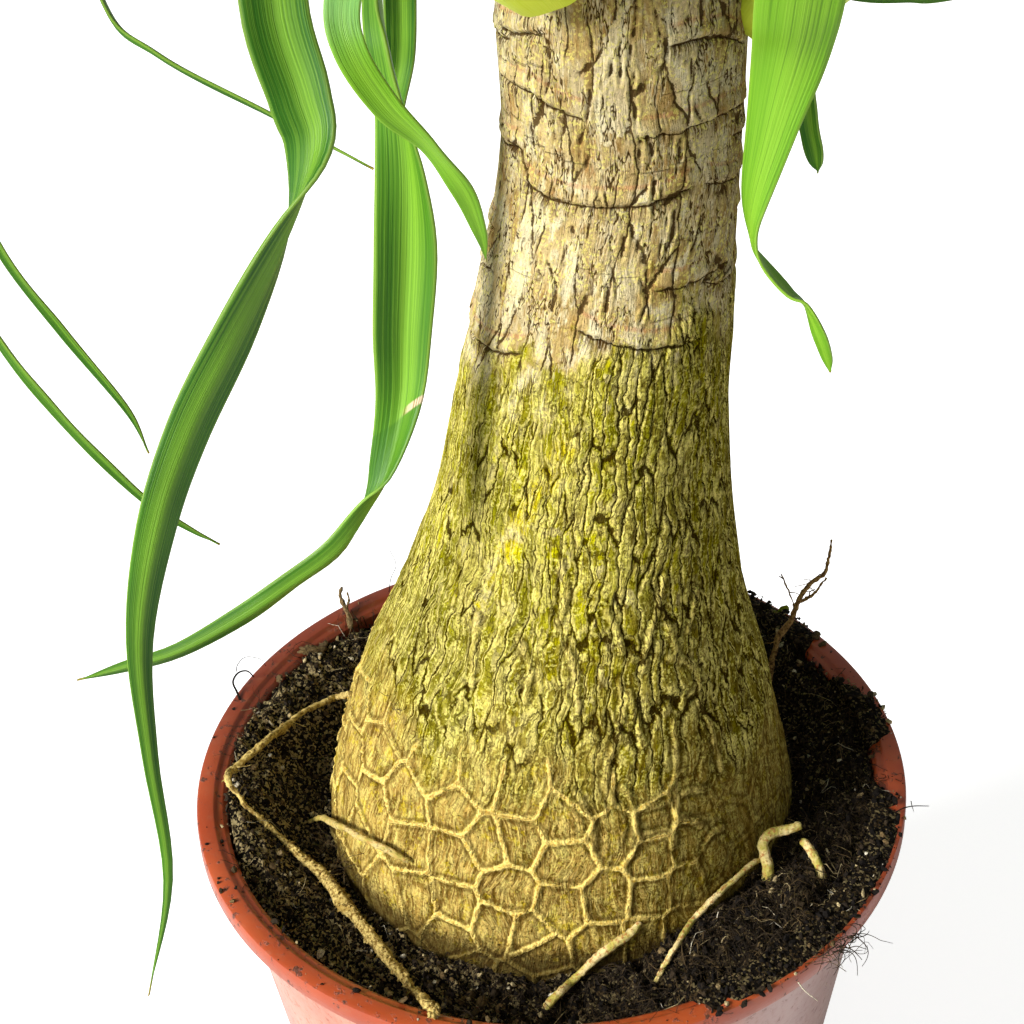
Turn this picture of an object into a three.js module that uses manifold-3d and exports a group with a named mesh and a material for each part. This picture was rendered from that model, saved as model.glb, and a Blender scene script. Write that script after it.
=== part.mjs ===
// A potted ponytail palm: one swollen trunk with surface roots, four leafy heads, soil and a pot.
// Millimetres, +Z up. The origin is the centre of the pot's base, where it stands on the floor.

import * as THREE from 'three';
import Module from 'manifold-3d';
import { mergeVertices } from 'three/addons/utils/BufferGeometryUtils.js';

const wasm = await Module();
wasm.setup();

// Driving dimensions

const clearance = 0.4;

const pot = {
  sides: 32,
  rimRadius: 105,
  height: 170,
  lipHeight: 6,
  flangeWidth: 5.2,
  flangeThickness: 3.8,
  wallInset: 2.4,
  stepDepth: 1.1,
  edge: 1.2,
  footRadius: 76,
  wall: 1.6,
  floor: 3.6,
  channelSlope: 2,
  channelInner: 45,
  channelOuter: 61,
  channelDepth: 2,
  holes: 6,
  holeRadius: 4,
};

const soil = {
  sides: 32,
  level: 156.5,
  riseFrom: 68,
  riseOver: 28,
  wallRise: 8,
  rightRise: 3,
  lump: 0.9,
  ringCount: 3,
  holeSpare: 0.4,
};

// The trunk's own axis leans to +X: each key is a height, the axis' X there and the bark's radius.
const trunkKeys = [
  [118, 3, 22],
  [126, 3, 48],
  [140, 3, 65.5],
  [156, 3.2, 69.2],
  [175, 3.4, 66.8],
  [193, 3.8, 62.4],
  [209, 4.8, 58],
  [227, 6.4, 51.6],
  [240, 8, 46.8],
  [270, 11.7, 39.6],
  [302, 14.5, 35.2],
  [320, 17.1, 33.3],
  [370, 22.9, 29],
  [405, 23.6, 29.2],
  [442, 24, 28.6],
];

const bark = {
  columns: 84,
  buriedBottom: 117,
  buriedRows: [118, 126, 140],
  netBottom: 148,
  netTop: 206,
  netRows: 12,
  netRaise: 1.1,
  netZigzag: 2,
  cell: 4,
  ridgeTop: 318,
  ridgeRows: 7,
  ridgeHeight: 0.9,
  scarRings: 6,
  scarTop: 436,
  scarLip: 0.6,
  scarGroove: 1.6,
  fissure: 1.4,
};

const callus = [[442, 28], [447, 24], [450, 13]];
const callusTop = 451;

const crownAxis = { x: 24, y: 0 };

// Each head grows from a short woody collar on the stem and keeps to its own sector of the crown.
const heads = [
  { name: 'head_front_left', azimuth: 236, collar: 421, sector: [180, 285], leaves: 22, seed: 11 },
  { name: 'head_right', azimuth: 352, collar: 402, sector: [285, 380], leaves: 22, seed: 22 },
  { name: 'head_back_right', azimuth: 62, collar: 420, sector: [20, 105], leaves: 22, seed: 33 },
  { name: 'head_back_left', azimuth: 143, collar: 412, sector: [105, 180], leaves: 22, seed: 44 },
];
const collar = { innerRadius: 8, outerRadius: 6.5, depth: 10, height: 2 };
const headTilt = 50;
const budOutline = [[7, 0], [10, 4], [12, 12], [14.5, 26], [17, 40], [16.5, 52], [11, 63]];
const budTop = 68;
const budSides = 12;

// Where a value has two numbers, the first is the youngest leaf's and the second the oldest's.
const leaf = {
  segments: 6,
  substeps: 4,
  heroSegments: 10,
  thickness: 1,
  fold: 0.22,
  goldenAngle: 137.508,
  lowest: 40,
  sectorMargin: 9,
  length: [200, 480],
  launch: [86, 48],
  hang: [-20, 84],
  halfWidth: [4.5, 7.5],
  start: [56, 22],
  outward: [1, 5],
  twist: 320,
};

// Leaves that hang where they are seen best: each key is X, Y, Z, half the blade's width and its
// turn in degrees about its own length, 0 where it faces the front.
const heroLeaves = {
  head_front_left: [
    [
      [-2, -40, 440, 4.5, 0], [-14, -72, 478, 5.4, 0], [-28, -106, 496, 5.8, 0],
      [-37, -128, 486, 5.7, 0], [-39, -135, 462, 5.6, 0], [-36, -140, 448, 5.5, 12],
      [-35, -143, 440, 5.3, 38], [-40, -147, 428, 5, 88], [-49, -152, 412, 4.7, 128],
      [-59, -156, 395, 4.2, 142], [-66, -162, 379, 3.9, 150], [-71, -168, 359, 3, 150],
      [-71, -176, 339, 2.2, 160], [-70, -184, 316, 1.3, 170], [-76, -191, 293, 0, 180],
    ],
    [
      [0, -38, 438, 4.2, 20], [-14, -56, 458, 4.4, 10], [-28, -67, 452, 4, 0],
      [-34, -69, 436, 3.7, 0], [-33, -73, 427, 3.4, 0], [-27, -74, 416, 3, 20],
      [-19, -72, 406, 2.6, 66], [-13, -70, 395, 2.4, 30], [-10, -67, 384, 1.5, 20],
      [-9, -63, 375, 0, 10],
    ],
    [
      [-1, -36, 438, 4, 30], [-16, -30, 458, 5, 60], [-30, -19, 446, 5, 70],
      [-33, -11, 414, 5, 68], [-32, -14, 401, 5.4, 62], [-30, -17, 387, 6.2, 50],
      [-29, -19, 373, 7, 30], [-29, -22, 356, 7.7, 4], [-31, -26, 337, 7.2, 4],
      [-33, -30, 320, 6.2, 14], [-38, -35, 304, 5.2, 46], [-43, -38, 296, 4.6, 88],
      [-51, -42, 285, 4, 122], [-63, -45, 277, 3.5, 130], [-76, -48, 269, 3.1, 140],
      [-92, -52, 262, 2.3, 150], [-106, -54, 259, 1.5, 160], [-118, -55, 256, 0, 170],
    ],
  ],
  head_right: [
    [
      [61, -14, 436, 6, 0], [64, -30, 456, 8.6, 0], [61, -42, 448, 9.4, 0],
      [58, -45, 423, 9.2, 0], [57, -40, 408, 8, 8], [54, -39, 391, 5.8, 22],
      [51, -39, 374, 4, 52], [51, -40, 365, 3, 88], [53, -41, 360, 2.7, 112],
      [59, -43, 353, 2.4, 124], [63, -44, 350, 2.2, 92], [66, -46, 343, 2, 62],
      [68, -46, 337, 1.4, 50], [69, -46, 333, 0, 40],
    ],
    [
      [64, -2, 426, 3.6, 20], [72, -2, 424, 3.6, 30], [70, -1, 408, 3.2, 30],
      [66, -2, 392, 2.8, 30], [67, -4, 378, 2.6, 30], [69, -6, 368, 2.2, 30],
      [70, -6, 364, 0, 30],
    ],
    [
      [62, -1, 414, 3, 80], [76, 3, 405, 2.4, 76], [90, 4, 403, 2.2, 76],
      [103, 6, 403, 2.6, 70], [150, 10, 410, 4, 60], [200, 15, 396, 5, 40],
      [238, 19, 352, 4.4, 20], [256, 22, 296, 2.6, 0], [262, 24, 250, 0, 0],
    ],
  ],
  head_back_left: [
    [
      [-8, 24, 434, 3.6, 40], [-20, 20, 444, 4, 20], [-27, 14, 428, 4.1, 8],
      [-28, 13, 404, 4, 0], [-29, 12, 390, 3.7, 0], [-32, 10, 377, 3.2, 0],
      [-32, 10, 367, 2.6, 0], [-31, 9, 357, 0, 0],
    ],
    [
      [-10, 27, 436, 3.6, 20], [-44, 40, 478, 4, 40], [-84, 46, 486, 4, 60],
      [-110, 42, 452, 3.6, 74], [-106, 35, 399, 2.9, 76], [-92, 30, 385, 2.5, 76],
      [-63, 25, 371, 2, 76], [-38, 19, 358, 0, 76],
    ],
    [
      [-10, 29, 440, 3.8, 10], [-64, 48, 512, 5, 20], [-128, 58, 508, 5, 40],
      [-160, 54, 430, 4.4, 50], [-150, 44, 358, 2.6, 50], [-142, 39, 329, 2.1, 50],
      [-129, 36, 305, 1.9, 40], [-114, 31, 282, 1.2, 30], [-109, 28, 269, 0, 30],
    ],
    [
      [-8, 25, 440, 3.8, 10], [-64, 30, 498, 5, 20], [-124, 30, 492, 5, 40],
      [-156, 24, 420, 4.4, 50], [-152, 18, 346, 3, 56], [-140, 15, 314, 2.6, 56],
      [-129, 13, 294, 2.3, 50], [-118, 12, 277, 2, 44], [-107, 12, 262, 1.5, 40],
      [-97, 12, 253, 0.9, 40], [-90, 12, 248, 0, 40],
    ],
  ],
};
const front = new THREE.Vector3(0, -0.81, 0.58);

// Surface roots: their routes over the soil, with both ends below it or in the trunk.
const roots = [
  {
    radius: 1.7,
    steps: 13,
    route: [
      [-50, 24, 168], [-64, 32, 171], [-68, 35, 171], [-77, 33, 168], [-87, 22, 166],
      [-91, 8, 164], [-90, -3, 162], [-84, -15, 161], [-73, -29, 160], [-62, -43, 158],
      [-54, -54, 157], [-45, -65, 156], [-38, -74, 155], [-34, -79, 148],
    ],
  },
  {
    radius: 1.3,
    steps: 6,
    route: [[29, -46, 160], [24, -56, 162], [18, -61, 161], [11, -67, 160], [4, -73, 159], [-1, -78, 151]],
  },
  {
    radius: 1,
    steps: 7,
    route: [
      [61, -38, 166], [53, -41, 165], [46, -49, 163], [40, -55, 162], [30, -66, 161], [27, -73, 155],
    ],
  },
  {
    radius: 2,
    steps: 10,
    route: [
      [48, -26, 138], [58, -36, 140], [62, -41, 150], [62, -41, 160], [60, -39, 169], [61, -38, 174],
      [64, -36, 176], [67, -35, 176], [70, -33, 174.5],
    ],
  },
  {
    radius: 1.8,
    steps: 9,
    route: [
      [50, -22, 140], [62, -26, 142], [70, -29, 152], [72, -31, 165], [74, -36, 167], [75, -42, 166],
      [76, -47, 160],
    ],
  },
  {
    radius: 1.3,
    steps: 9,
    route: [
      [46, 36, 140], [58, 44, 142], [70, 50, 152], [74, 52, 166], [78, 59, 180], [83, 61, 189],
      [89, 62, 194], [92, 66, 200],
    ],
  },
];

// Small helpers

const radians = THREE.MathUtils.degToRad;
const smooth = (value) => THREE.MathUtils.smoothstep(value, 0, 1);
const mix = THREE.MathUtils.lerp;
const polar = (x, y, radius, angle, z) =>
  new THREE.Vector3(x + radius * Math.cos(angle), y + radius * Math.sin(angle), z);

function randomFrom(seed) {
  let state = seed;
  return () => {
    state = (state + 0x6d2b79f5) | 0;
    let mixed = Math.imul(state ^ (state >>> 15), 1 | state);
    mixed = (mixed + Math.imul(mixed ^ (mixed >>> 7), 61 | mixed)) ^ mixed;
    return ((mixed ^ (mixed >>> 14)) >>> 0) / 4294967296;
  };
}

// A smooth curve through keys: at is a place along them, a whole number at each key.
function alongKeys(keys, at) {
  const last = keys.length - 1;
  const from = Math.min(Math.floor(at), last - 1);
  const t = at - from;
  return keys[0].map((_, item) => {
    const p1 = keys[from][item];
    const p2 = keys[from + 1][item];
    const p0 = from > 0 ? keys[from - 1][item] : 2 * p1 - p2;
    const p3 = from + 1 < last ? keys[from + 2][item] : 2 * p2 - p1;
    const bend = (2 * p0 - 5 * p1 + 4 * p2 - p3) * t * t + (3 * p1 - p0 - 3 * p2 + p3) * t * t * t;
    return 0.5 * (2 * p1 + (p2 - p0) * t + bend);
  });
}

function trunkAt(z) {
  let key = 0;
  while (key < trunkKeys.length - 2 && z > trunkKeys[key + 1][0]) key += 1;
  const step = (z - trunkKeys[key][0]) / (trunkKeys[key + 1][0] - trunkKeys[key][0]);
  const [, x, radius] = alongKeys(trunkKeys, key + THREE.MathUtils.clamp(step, 0, 1));
  return { x, radius };
}

// Solids: rings of points are joined in order, each counted anticlockwise round the way they run.

function loft(rings) {
  const positions = rings.flat().flatMap((point) => point.toArray());
  const starts = [];
  rings.reduce((start, ring) => starts.push(start) && start + ring.length, 0);
  const faces = [];
  for (let k = 0; k + 1 < rings.length; k += 1) {
    const lower = (i) => starts[k] + (i % rings[k].length);
    const upper = (i) => starts[k + 1] + (i % rings[k + 1].length);
    const count = Math.min(rings[k].length, rings[k + 1].length);
    for (let i = 0; i < Math.max(rings[k].length, rings[k + 1].length); i += 1) {
      if (rings[k].length === 1) faces.push(lower(0), upper(i + 1), upper(i));
      else if (rings[k + 1].length === 1) faces.push(upper(0), lower(i), lower(i + 1));
      else if (rings[k].length === rings[k + 1].length) {
        const j = (i + 1) % count;
        const rising = rings[k][i].distanceTo(rings[k + 1][j]);
        const falling = rings[k][j].distanceTo(rings[k + 1][i]);
        if (rising < falling) faces.push(lower(i), lower(j), upper(j), lower(i), upper(j), upper(i));
        else faces.push(lower(i), lower(j), upper(i), lower(j), upper(j), upper(i));
      } else if (i < count && rings[k].length > count) {
        faces.push(lower(2 * i), lower(2 * i + 1), upper(i));
        faces.push(lower(2 * i + 1), upper(i + 1), upper(i));
        faces.push(lower(2 * i + 1), lower(2 * i + 2), upper(i + 1));
      } else if (i < count) {
        faces.push(lower(i), upper(2 * i + 1), upper(2 * i));
        faces.push(lower(i), lower(i + 1), upper(2 * i + 1));
        faces.push(lower(i + 1), upper(2 * i + 2), upper(2 * i + 1));
      }
    }
  }
  return solidOf(positions, faces);
}

function solidOf(positions, faces) {
  const mesh = new wasm.Mesh({
    numProp: 3,
    vertProperties: new Float32Array(positions),
    triVerts: new Uint32Array(faces),
  });
  return new wasm.Manifold(mesh);
}

function solidFrom(geometry) {
  geometry.deleteAttribute('normal');
  geometry.deleteAttribute('uv');
  const merged = mergeVertices(geometry, 1e-4);
  return solidOf(merged.getAttribute('position').array, merged.getIndex().array);
}

function named(name, solid, material) {
  const { vertProperties, triVerts } = solid.getMesh();
  const geometry = new THREE.BufferGeometry();
  geometry.setAttribute('position', new THREE.BufferAttribute(vertProperties, 3));
  geometry.setIndex(new THREE.BufferAttribute(triVerts, 1));
  geometry.computeVertexNormals();
  const mesh = new THREE.Mesh(geometry, material);
  mesh.name = name;
  return mesh;
}

// Pot: a thin moulded wall that tapers to its foot, with a turned-down lip round a flat flange

const wallTop = pot.height - pot.lipHeight - 2;

function wallRadius(z) {
  return mix(pot.footRadius, pot.rimRadius - pot.flangeWidth - pot.wallInset, z / wallTop);
}

function potOutline() {
  const { rimRadius, height, lipHeight, footRadius, wall, edge, stepDepth, channelSlope } = pot;
  const underFlange = height - pot.flangeThickness;
  const inner = rimRadius - pot.flangeWidth;
  const neck = wallRadius(wallTop);
  return [
    [0, 0],
    [pot.channelInner, 0],
    [pot.channelInner + channelSlope, pot.channelDepth],
    [pot.channelOuter - channelSlope, pot.channelDepth],
    [pot.channelOuter, 0],
    [footRadius - edge, 0],
    [wallRadius(edge), edge],
    [neck, wallTop],
    [neck + edge / 3, underFlange],
    [rimRadius - wall, underFlange],
    [rimRadius - wall + edge / 6, height - lipHeight],
    [rimRadius, height - lipHeight],
    [rimRadius, height - edge],
    [rimRadius - edge, height],
    [inner, height],
    [inner - stepDepth, height - stepDepth],
    [inner - pot.wallInset, height - stepDepth],
    [neck - wall + edge / 6, height - stepDepth - edge],
    [neck - wall, wallTop],
    [wallRadius(pot.floor + edge) - wall, pot.floor + edge],
    [footRadius - wall - edge, pot.floor],
    [0, pot.floor],
  ].map(([radius, z]) => new THREE.Vector2(radius, z));
}

function buildPot() {
  const shell = new THREE.LatheGeometry(potOutline(), pot.sides);
  shell.rotateX(Math.PI / 2);
  let solid = solidFrom(shell);
  for (let i = 0; i < pot.holes; i += 1) {
    const angle = ((i + 0.5) / pot.holes) * 2 * Math.PI;
    const drain = new THREE.CylinderGeometry(pot.holeRadius, pot.holeRadius, 12, 8);
    drain.rotateX(Math.PI / 2);
    const middle = (pot.channelInner + pot.channelOuter) / 2;
    drain.translate(middle * Math.cos(angle), middle * Math.sin(angle), pot.channelDepth);
    solid = solid.subtract(solidFrom(drain));
  }
  return solid;
}

// Soil: fills the pot, higher against the wall at the left and right, with holes for what stands in it

function soilHeight(x, y) {
  const radius = Math.hypot(x, y);
  const angle = Math.atan2(y, x);
  const outward = smooth((radius - soil.riseFrom) / soil.riseOver);
  const sideways = Math.cos(angle) ** 2;
  const rightward = soil.rightRise * smooth((x + 20) / 90);
  const broad = Math.sin(0.16 * x + 1) * Math.cos(0.19 * y);
  const lumps = soil.lump * (broad + 0.55 * Math.sin(0.31 * y - 0.12 * x));
  return soil.level + outward * (soil.wallRise * sideways - 1) + rightward + lumps;
}

function holeRadius(z) {
  const relief = z < bark.netBottom - 1 ? 0 : bark.netRaise;
  return trunkAt(z).radius + relief + clearance + soil.holeSpare;
}

function circle(x, radius, z, sides) {
  return Array.from({ length: sides }, (_, i) => polar(x, 0, radius, (i / sides) * 2 * Math.PI, z));
}

function buildSoil() {
  const ring = (x, radius, z) => circle(x, radius, z, soil.sides);
  const floor = pot.floor + clearance;
  const spare = 1.5 * clearance;
  const rings = [
    [new THREE.Vector3(0, 0, floor)],
    ring(0, pot.footRadius - pot.wall - pot.edge - spare, floor),
    ring(0, wallRadius(floor + pot.edge) - pot.wall - spare, floor + pot.edge),
  ];
  const rim = ring(0, wallRadius(soil.level) - pot.wall - spare, 0);
  const mouth = ring(trunkAt(soil.level).x, holeRadius(soil.level), 0);
  for (let k = 0; k <= soil.ringCount; k += 1) {
    rings.push(rim.map((outer, i) => {
      const point = outer.clone().lerp(mouth[i], k / soil.ringCount);
      point.z = soilHeight(point.x, point.y);
      return point;
    }));
  }
  for (const z of [...bark.buriedRows, bark.netBottom].reverse()) {
    rings.push(ring(trunkAt(z).x, holeRadius(z), z - clearance));
  }
  rings.push([new THREE.Vector3(trunkAt(0).x, 0, bark.buriedBottom - clearance)]);
  return roots.reduce((bed, root) => bed.subtract(rootTube(root, clearance)), loft(rings));
}

// Roots: round tubes that follow their routes

function rootTube(root, extra = 0) {
  const points = root.route.map((place) => new THREE.Vector3(...place));
  const [before, end] = points.slice(-2);
  end.addScaledVector(end.clone().sub(before).normalize(), extra);
  const section = new THREE.Shape();
  section.absarc(0, 0, root.radius + extra, 0, 2 * Math.PI);
  const tube = new THREE.ExtrudeGeometry(section, {
    curveSegments: 3,
    steps: root.steps,
    extrudePath: new THREE.CatmullRomCurve3(points),
  });
  return solidFrom(tube);
}

// Trunk: rings of bark from the buried foot to the callused top

function barkRing(z, columns, relief, shift = () => 0) {
  return Array.from({ length: columns }, (_, column) => {
    const angle = (column / columns) * 2 * Math.PI;
    const height = z + shift(column, angle);
    const { x, radius } = trunkAt(height);
    return polar(x, 0, radius + relief(column, angle), angle, height);
  });
}

// A corky net of six-sided cells: the lines between cells stand out
function netRing(row) {
  const z = mix(bark.netBottom, bark.netTop, row / bark.netRows);
  const band = Math.floor(row / bark.cell);
  const offset = (which) => (which % 2 === 0 ? 0 : bark.cell / 2);
  const onUpright = (column, which) => (column + offset(which)) % bark.cell === 0;
  const between = row % bark.cell === 0;
  const relief = (column) => (between || onUpright(column, band) ? bark.netRaise : -bark.netRaise * 0.6);
  const wander = (column) => 0.4 * Math.sin(2.3 * column + 4.1 * row);
  const shift = (column) => {
    if (!between) return wander(column);
    const lift = onUpright(column, band + 1) ? bark.netZigzag : 0;
    return wander(column) + lift - (onUpright(column, band) ? bark.netZigzag : 0);
  };
  return barkRing(z, bark.columns, relief, shift);
}

// Upright ridges that join and part
function ridgeRing(row) {
  const z = mix(bark.netTop, bark.ridgeTop, row / bark.ridgeRows);
  const relief = (column) => {
    const drift = Math.sin(0.21 * column + 1.3 * row) + Math.sin(0.13 * column - 0.9 * row);
    const parted = drift > 0.5 ? 1 : 0;
    return (column + parted) % 2 === 0 ? bark.ridgeHeight : -bark.ridgeHeight;
  };
  return barkRing(z, bark.columns, relief);
}

// Old leaf scars: a lip that sags round the stem, with a groove over it
function scarRings(ring) {
  const z = mix(bark.ridgeTop + 6, bark.scarTop, ring / bark.scarRings);
  const sag = (column, angle) => 2.4 * Math.sin(3 * angle + 2.1 * ring) + 1.2 * Math.sin(5 * angle - ring);
  const fissure = (column) => (Math.sin(12.9 * column + 7.3 * ring) > 0.6 ? -bark.fissure : 0);
  const lip = (column) => bark.scarLip + fissure(column);
  const groove = (column) => fissure(column) - bark.scarLip;
  return [
    barkRing(z, bark.columns / 2, lip, sag),
    barkRing(z + bark.scarGroove, bark.columns / 2, groove, sag),
  ];
}

function buildTrunk() {
  const rings = [[new THREE.Vector3(trunkAt(0).x, 0, bark.buriedBottom)]];
  for (const z of bark.buriedRows) rings.push(barkRing(z, bark.columns / 2, () => 0));
  for (let row = 0; row <= bark.netRows; row += 1) rings.push(netRing(row));
  for (let row = 1; row <= bark.ridgeRows; row += 1) rings.push(ridgeRing(row));
  for (let ring = 0; ring < bark.scarRings; ring += 1) rings.push(...scarRings(ring));
  for (const [z, radius] of callus) {
    rings.push(barkRing(z, bark.columns / 2, () => radius - trunkAt(z).radius));
  }
  rings.push([new THREE.Vector3(crownAxis.x, crownAxis.y, callusTop)]);
  const grown = roots.reduce((trunk, root) => trunk.add(rootTube(root)), loft(rings));
  return heads.reduce((trunk, head) => trunk.add(buildCollar(head)), grown);
}

// Where a head leaves the stem and which way it points
function headSeat(head) {
  const angle = radians(head.azimuth);
  const tilt = radians(headTilt);
  const { x, radius } = trunkAt(head.collar);
  const direction = new THREE.Vector3(
    Math.cos(angle) * Math.cos(tilt), Math.sin(angle) * Math.cos(tilt), Math.sin(tilt),
  );
  return { point: polar(x, 0, radius, angle, head.collar), direction };
}

function placeAlong(geometry, point, direction) {
  const turn = new THREE.Quaternion().setFromUnitVectors(new THREE.Vector3(0, 1, 0), direction);
  geometry.applyQuaternion(turn);
  geometry.translate(point.x, point.y, point.z);
  return geometry;
}

function buildCollar(head, room = 0) {
  const { point, direction } = headSeat(head);
  const length = collar.depth + collar.height + room;
  const { outerRadius, innerRadius } = collar;
  const stub = new THREE.CylinderGeometry(outerRadius + room, innerRadius + room, length, budSides);
  stub.translate(0, collar.height + room - length / 2, 0);
  return solidFrom(placeAlong(stub, point, direction));
}

// Heads: a green bud with strap leaves that leave it in a spiral

function buildBud(head) {
  const { point, direction } = headSeat(head);
  const outline = budOutline.map(([radius, height]) => new THREE.Vector2(radius, height));
  outline.unshift(new THREE.Vector2(0, 0));
  outline.push(new THREE.Vector2(0, budTop));
  const bud = new THREE.LatheGeometry(outline, budSides);
  return solidFrom(placeAlong(bud, point, direction));
}

// A blade is flat on top and keeled below; it ends in a point
function blade(stations) {
  const rings = stations.map(({ centre, side, halfWidth }, index) => {
    if (halfWidth <= 0) return [centre];
    const next = stations[Math.min(index + 1, stations.length - 1)].centre;
    const before = stations[Math.max(index - 1, 0)].centre;
    const along = next.clone().sub(before).normalize();
    const under = along.clone().cross(side).normalize();
    const depth = leaf.thickness + leaf.fold * halfWidth;
    return [
      centre.clone().addScaledVector(side, halfWidth),
      centre.clone().addScaledVector(side, -halfWidth),
      centre.clone().addScaledVector(under, -depth),
    ];
  });
  return loft([[stations[0].centre], ...rings]);
}

function heroBlade(keys) {
  const last = keys.length - 1;
  const place = (at) => new THREE.Vector3(...alongKeys(keys, at));
  const stations = [];
  for (let k = 0; k <= leaf.heroSegments; k += 1) {
    const at = (k / leaf.heroSegments) * last;
    const [, , , width, turn] = alongKeys(keys, at);
    const along = place(Math.min(at + 0.05, last)).sub(place(Math.max(at - 0.05, 0))).normalize();
    const side = front.clone().cross(along).normalize().applyAxisAngle(along, radians(turn));
    stations.push({ centre: place(at), side, halfWidth: k === leaf.heroSegments ? 0 : width });
  }
  return blade(stations);
}

function bendClear(point, head) {
  for (const [edge, turn] of [[head.sector[0], 1], [head.sector[1], -1]]) {
    const angle = radians(edge);
    const inward = new THREE.Vector3(-Math.sin(angle) * turn, Math.cos(angle) * turn, 0);
    const away = (point.x - crownAxis.x) * inward.x + (point.y - crownAxis.y) * inward.y;
    if (away < leaf.sectorMargin) point.addScaledVector(inward, leaf.sectorMargin - away);
  }
  point.z = Math.max(point.z, leaf.lowest);
  return point;
}

function archedBlade(head, order, random) {
  const { point, direction } = headSeat(head);
  const age = 1 - (order + 0.5) / head.leaves;
  const turned = order * leaf.goldenAngle + 4 * (random() - 0.5);
  const turn = ((turned + 180) % 360) - 180;
  const half = (head.sector[1] - head.sector[0]) / 2 - 5;
  const heading = radians((head.sector[0] + head.sector[1]) / 2 + (turn / 180) * half);
  const frontness = Math.max(0, -Math.sin(heading));
  const backness = Math.max(0, Math.sin(heading));
  const length = mix(...leaf.length, age ** 0.6) * (0.9 + 0.2 * random()) * (1 - 0.2 * frontness ** 2);
  const launch = radians(mix(...leaf.launch, age) * (1 + 0.25 * frontness ** 2));
  const hang = mix(...leaf.hang, age ** 0.5) * (1 - 0.75 * frontness ** 2 - 0.25 * backness ** 2);
  const halfWidth = mix(...leaf.halfWidth, age ** 0.5) * (0.9 + 0.2 * random());
  const twist = radians((random() - 0.5) * leaf.twist * age);
  const lean = radians(head.azimuth + turn);
  const first = new THREE.Vector3(
    Math.cos(lean) * Math.cos(launch), Math.sin(lean) * Math.cos(launch), Math.sin(launch),
  );
  const across = new THREE.Vector3(-Math.sin(heading), Math.cos(heading), 0);
  const place = point.clone().addScaledVector(direction, mix(...leaf.start, age));
  place.addScaledVector(first, mix(...leaf.outward, age));
  const count = leaf.segments * leaf.substeps;
  const stations = [];
  for (let k = 0; k <= count; k += 1) {
    const t = k / count;
    const elevation = mix(launch, -radians(hang), smooth(t / 0.8));
    const arching = new THREE.Vector3(
      Math.cos(heading) * Math.cos(elevation), Math.sin(heading) * Math.cos(elevation), Math.sin(elevation),
    );
    const way = first.clone().lerp(arching, smooth(t / 0.4)).normalize();
    if (k % leaf.substeps === 0) {
      const side = across.clone().cross(way).cross(way).normalize().negate();
      side.applyAxisAngle(way, twist * smooth((t - 0.25) / 0.75));
      const widthHere = halfWidth * Math.min(1, 0.12 + 2.4 * t) * (1 - t ** 2);
      stations.push({ centre: bendClear(place.clone(), head), side, halfWidth: widthHere });
    }
    place.addScaledVector(way, length / count);
  }
  return blade(stations);
}

// The stem with a little room round it: what a head is cut by, to sit against the bark
function stemRoom() {
  const room = bark.scarLip + clearance;
  const ring = (z) => circle(trunkAt(z).x, trunkAt(z).radius + room, z, 24);
  const middle = (z) => [new THREE.Vector3(trunkAt(z).x, 0, z)];
  const bottom = Math.min(...heads.map((head) => head.collar)) - 2 * budTop / 3;
  const top = callusTop + clearance;
  const heights = Array.from({ length: 5 }, (_, k) => mix(bottom, top, k / 4));
  return loft([middle(bottom), ...heights.map(ring), middle(top)]);
}

// One body without sealed hollows or loose scraps
function whole(solid) {
  return solid.decompose().reduce((best, piece) => (piece.volume() > best.volume() ? piece : best));
}

function buildHead(head) {
  const random = randomFrom(head.seed);
  let solid = buildBud(head);
  for (let order = 0; order < head.leaves; order += 1) solid = solid.add(archedBlade(head, order, random));
  for (const keys of heroLeaves[head.name] ?? []) solid = solid.add(heroBlade(keys));
  return whole(whole(solid).subtract(stemRoom()).subtract(buildCollar(head, clearance)));
}

// Materials

const terracotta = new THREE.MeshStandardMaterial({ color: 0xb8583c, roughness: 0.45, metalness: 0 });
const peat = new THREE.MeshStandardMaterial({ color: 0x2a211b, roughness: 0.95, metalness: 0 });
const cork = new THREE.MeshStandardMaterial({ color: 0xa6935a, roughness: 0.85, metalness: 0 });
const leafGreen = new THREE.MeshStandardMaterial({ color: 0x4d8f2c, roughness: 0.5, metalness: 0 });

// The whole plant

const palm = new THREE.Group();
palm.add(named('pot', buildPot(), terracotta));
palm.add(named('soil', buildSoil(), peat));
palm.add(named('trunk', buildTrunk(), cork));
for (const head of heads) palm.add(named(head.name, buildHead(head), leafGreen.clone()));

export default palm;
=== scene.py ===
"""A potted ponytail palm: corky trunk, surface roots, four leafy heads, soil and a nursery pot."""

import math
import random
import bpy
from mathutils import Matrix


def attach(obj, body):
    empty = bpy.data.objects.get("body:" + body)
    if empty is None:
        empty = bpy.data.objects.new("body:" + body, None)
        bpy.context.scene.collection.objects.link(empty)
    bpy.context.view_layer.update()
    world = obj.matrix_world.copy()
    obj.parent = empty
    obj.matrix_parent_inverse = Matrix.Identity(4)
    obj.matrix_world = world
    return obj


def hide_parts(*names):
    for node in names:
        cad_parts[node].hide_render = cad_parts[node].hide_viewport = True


bl_info = {
    "name": "Potted Ponytail Palm",
    "version": (1, 0, 0),
    "blender": (4, 5, 0),
    "location": "3D View > Sidebar > Palm",
    "description": "Dresses the palm's frame with bark, leaves, roots, soil and a pot",
    "category": "Object",
}

from collections import namedtuple
from types import SimpleNamespace

import bmesh
import bpy
import numpy as np
from bpy.props import FloatProperty, FloatVectorProperty, IntProperty, PointerProperty
from bpy.types import Operator, Panel, PropertyGroup
from mathutils import Matrix, Quaternion, Vector, noise
from mathutils.kdtree import KDTree

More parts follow.
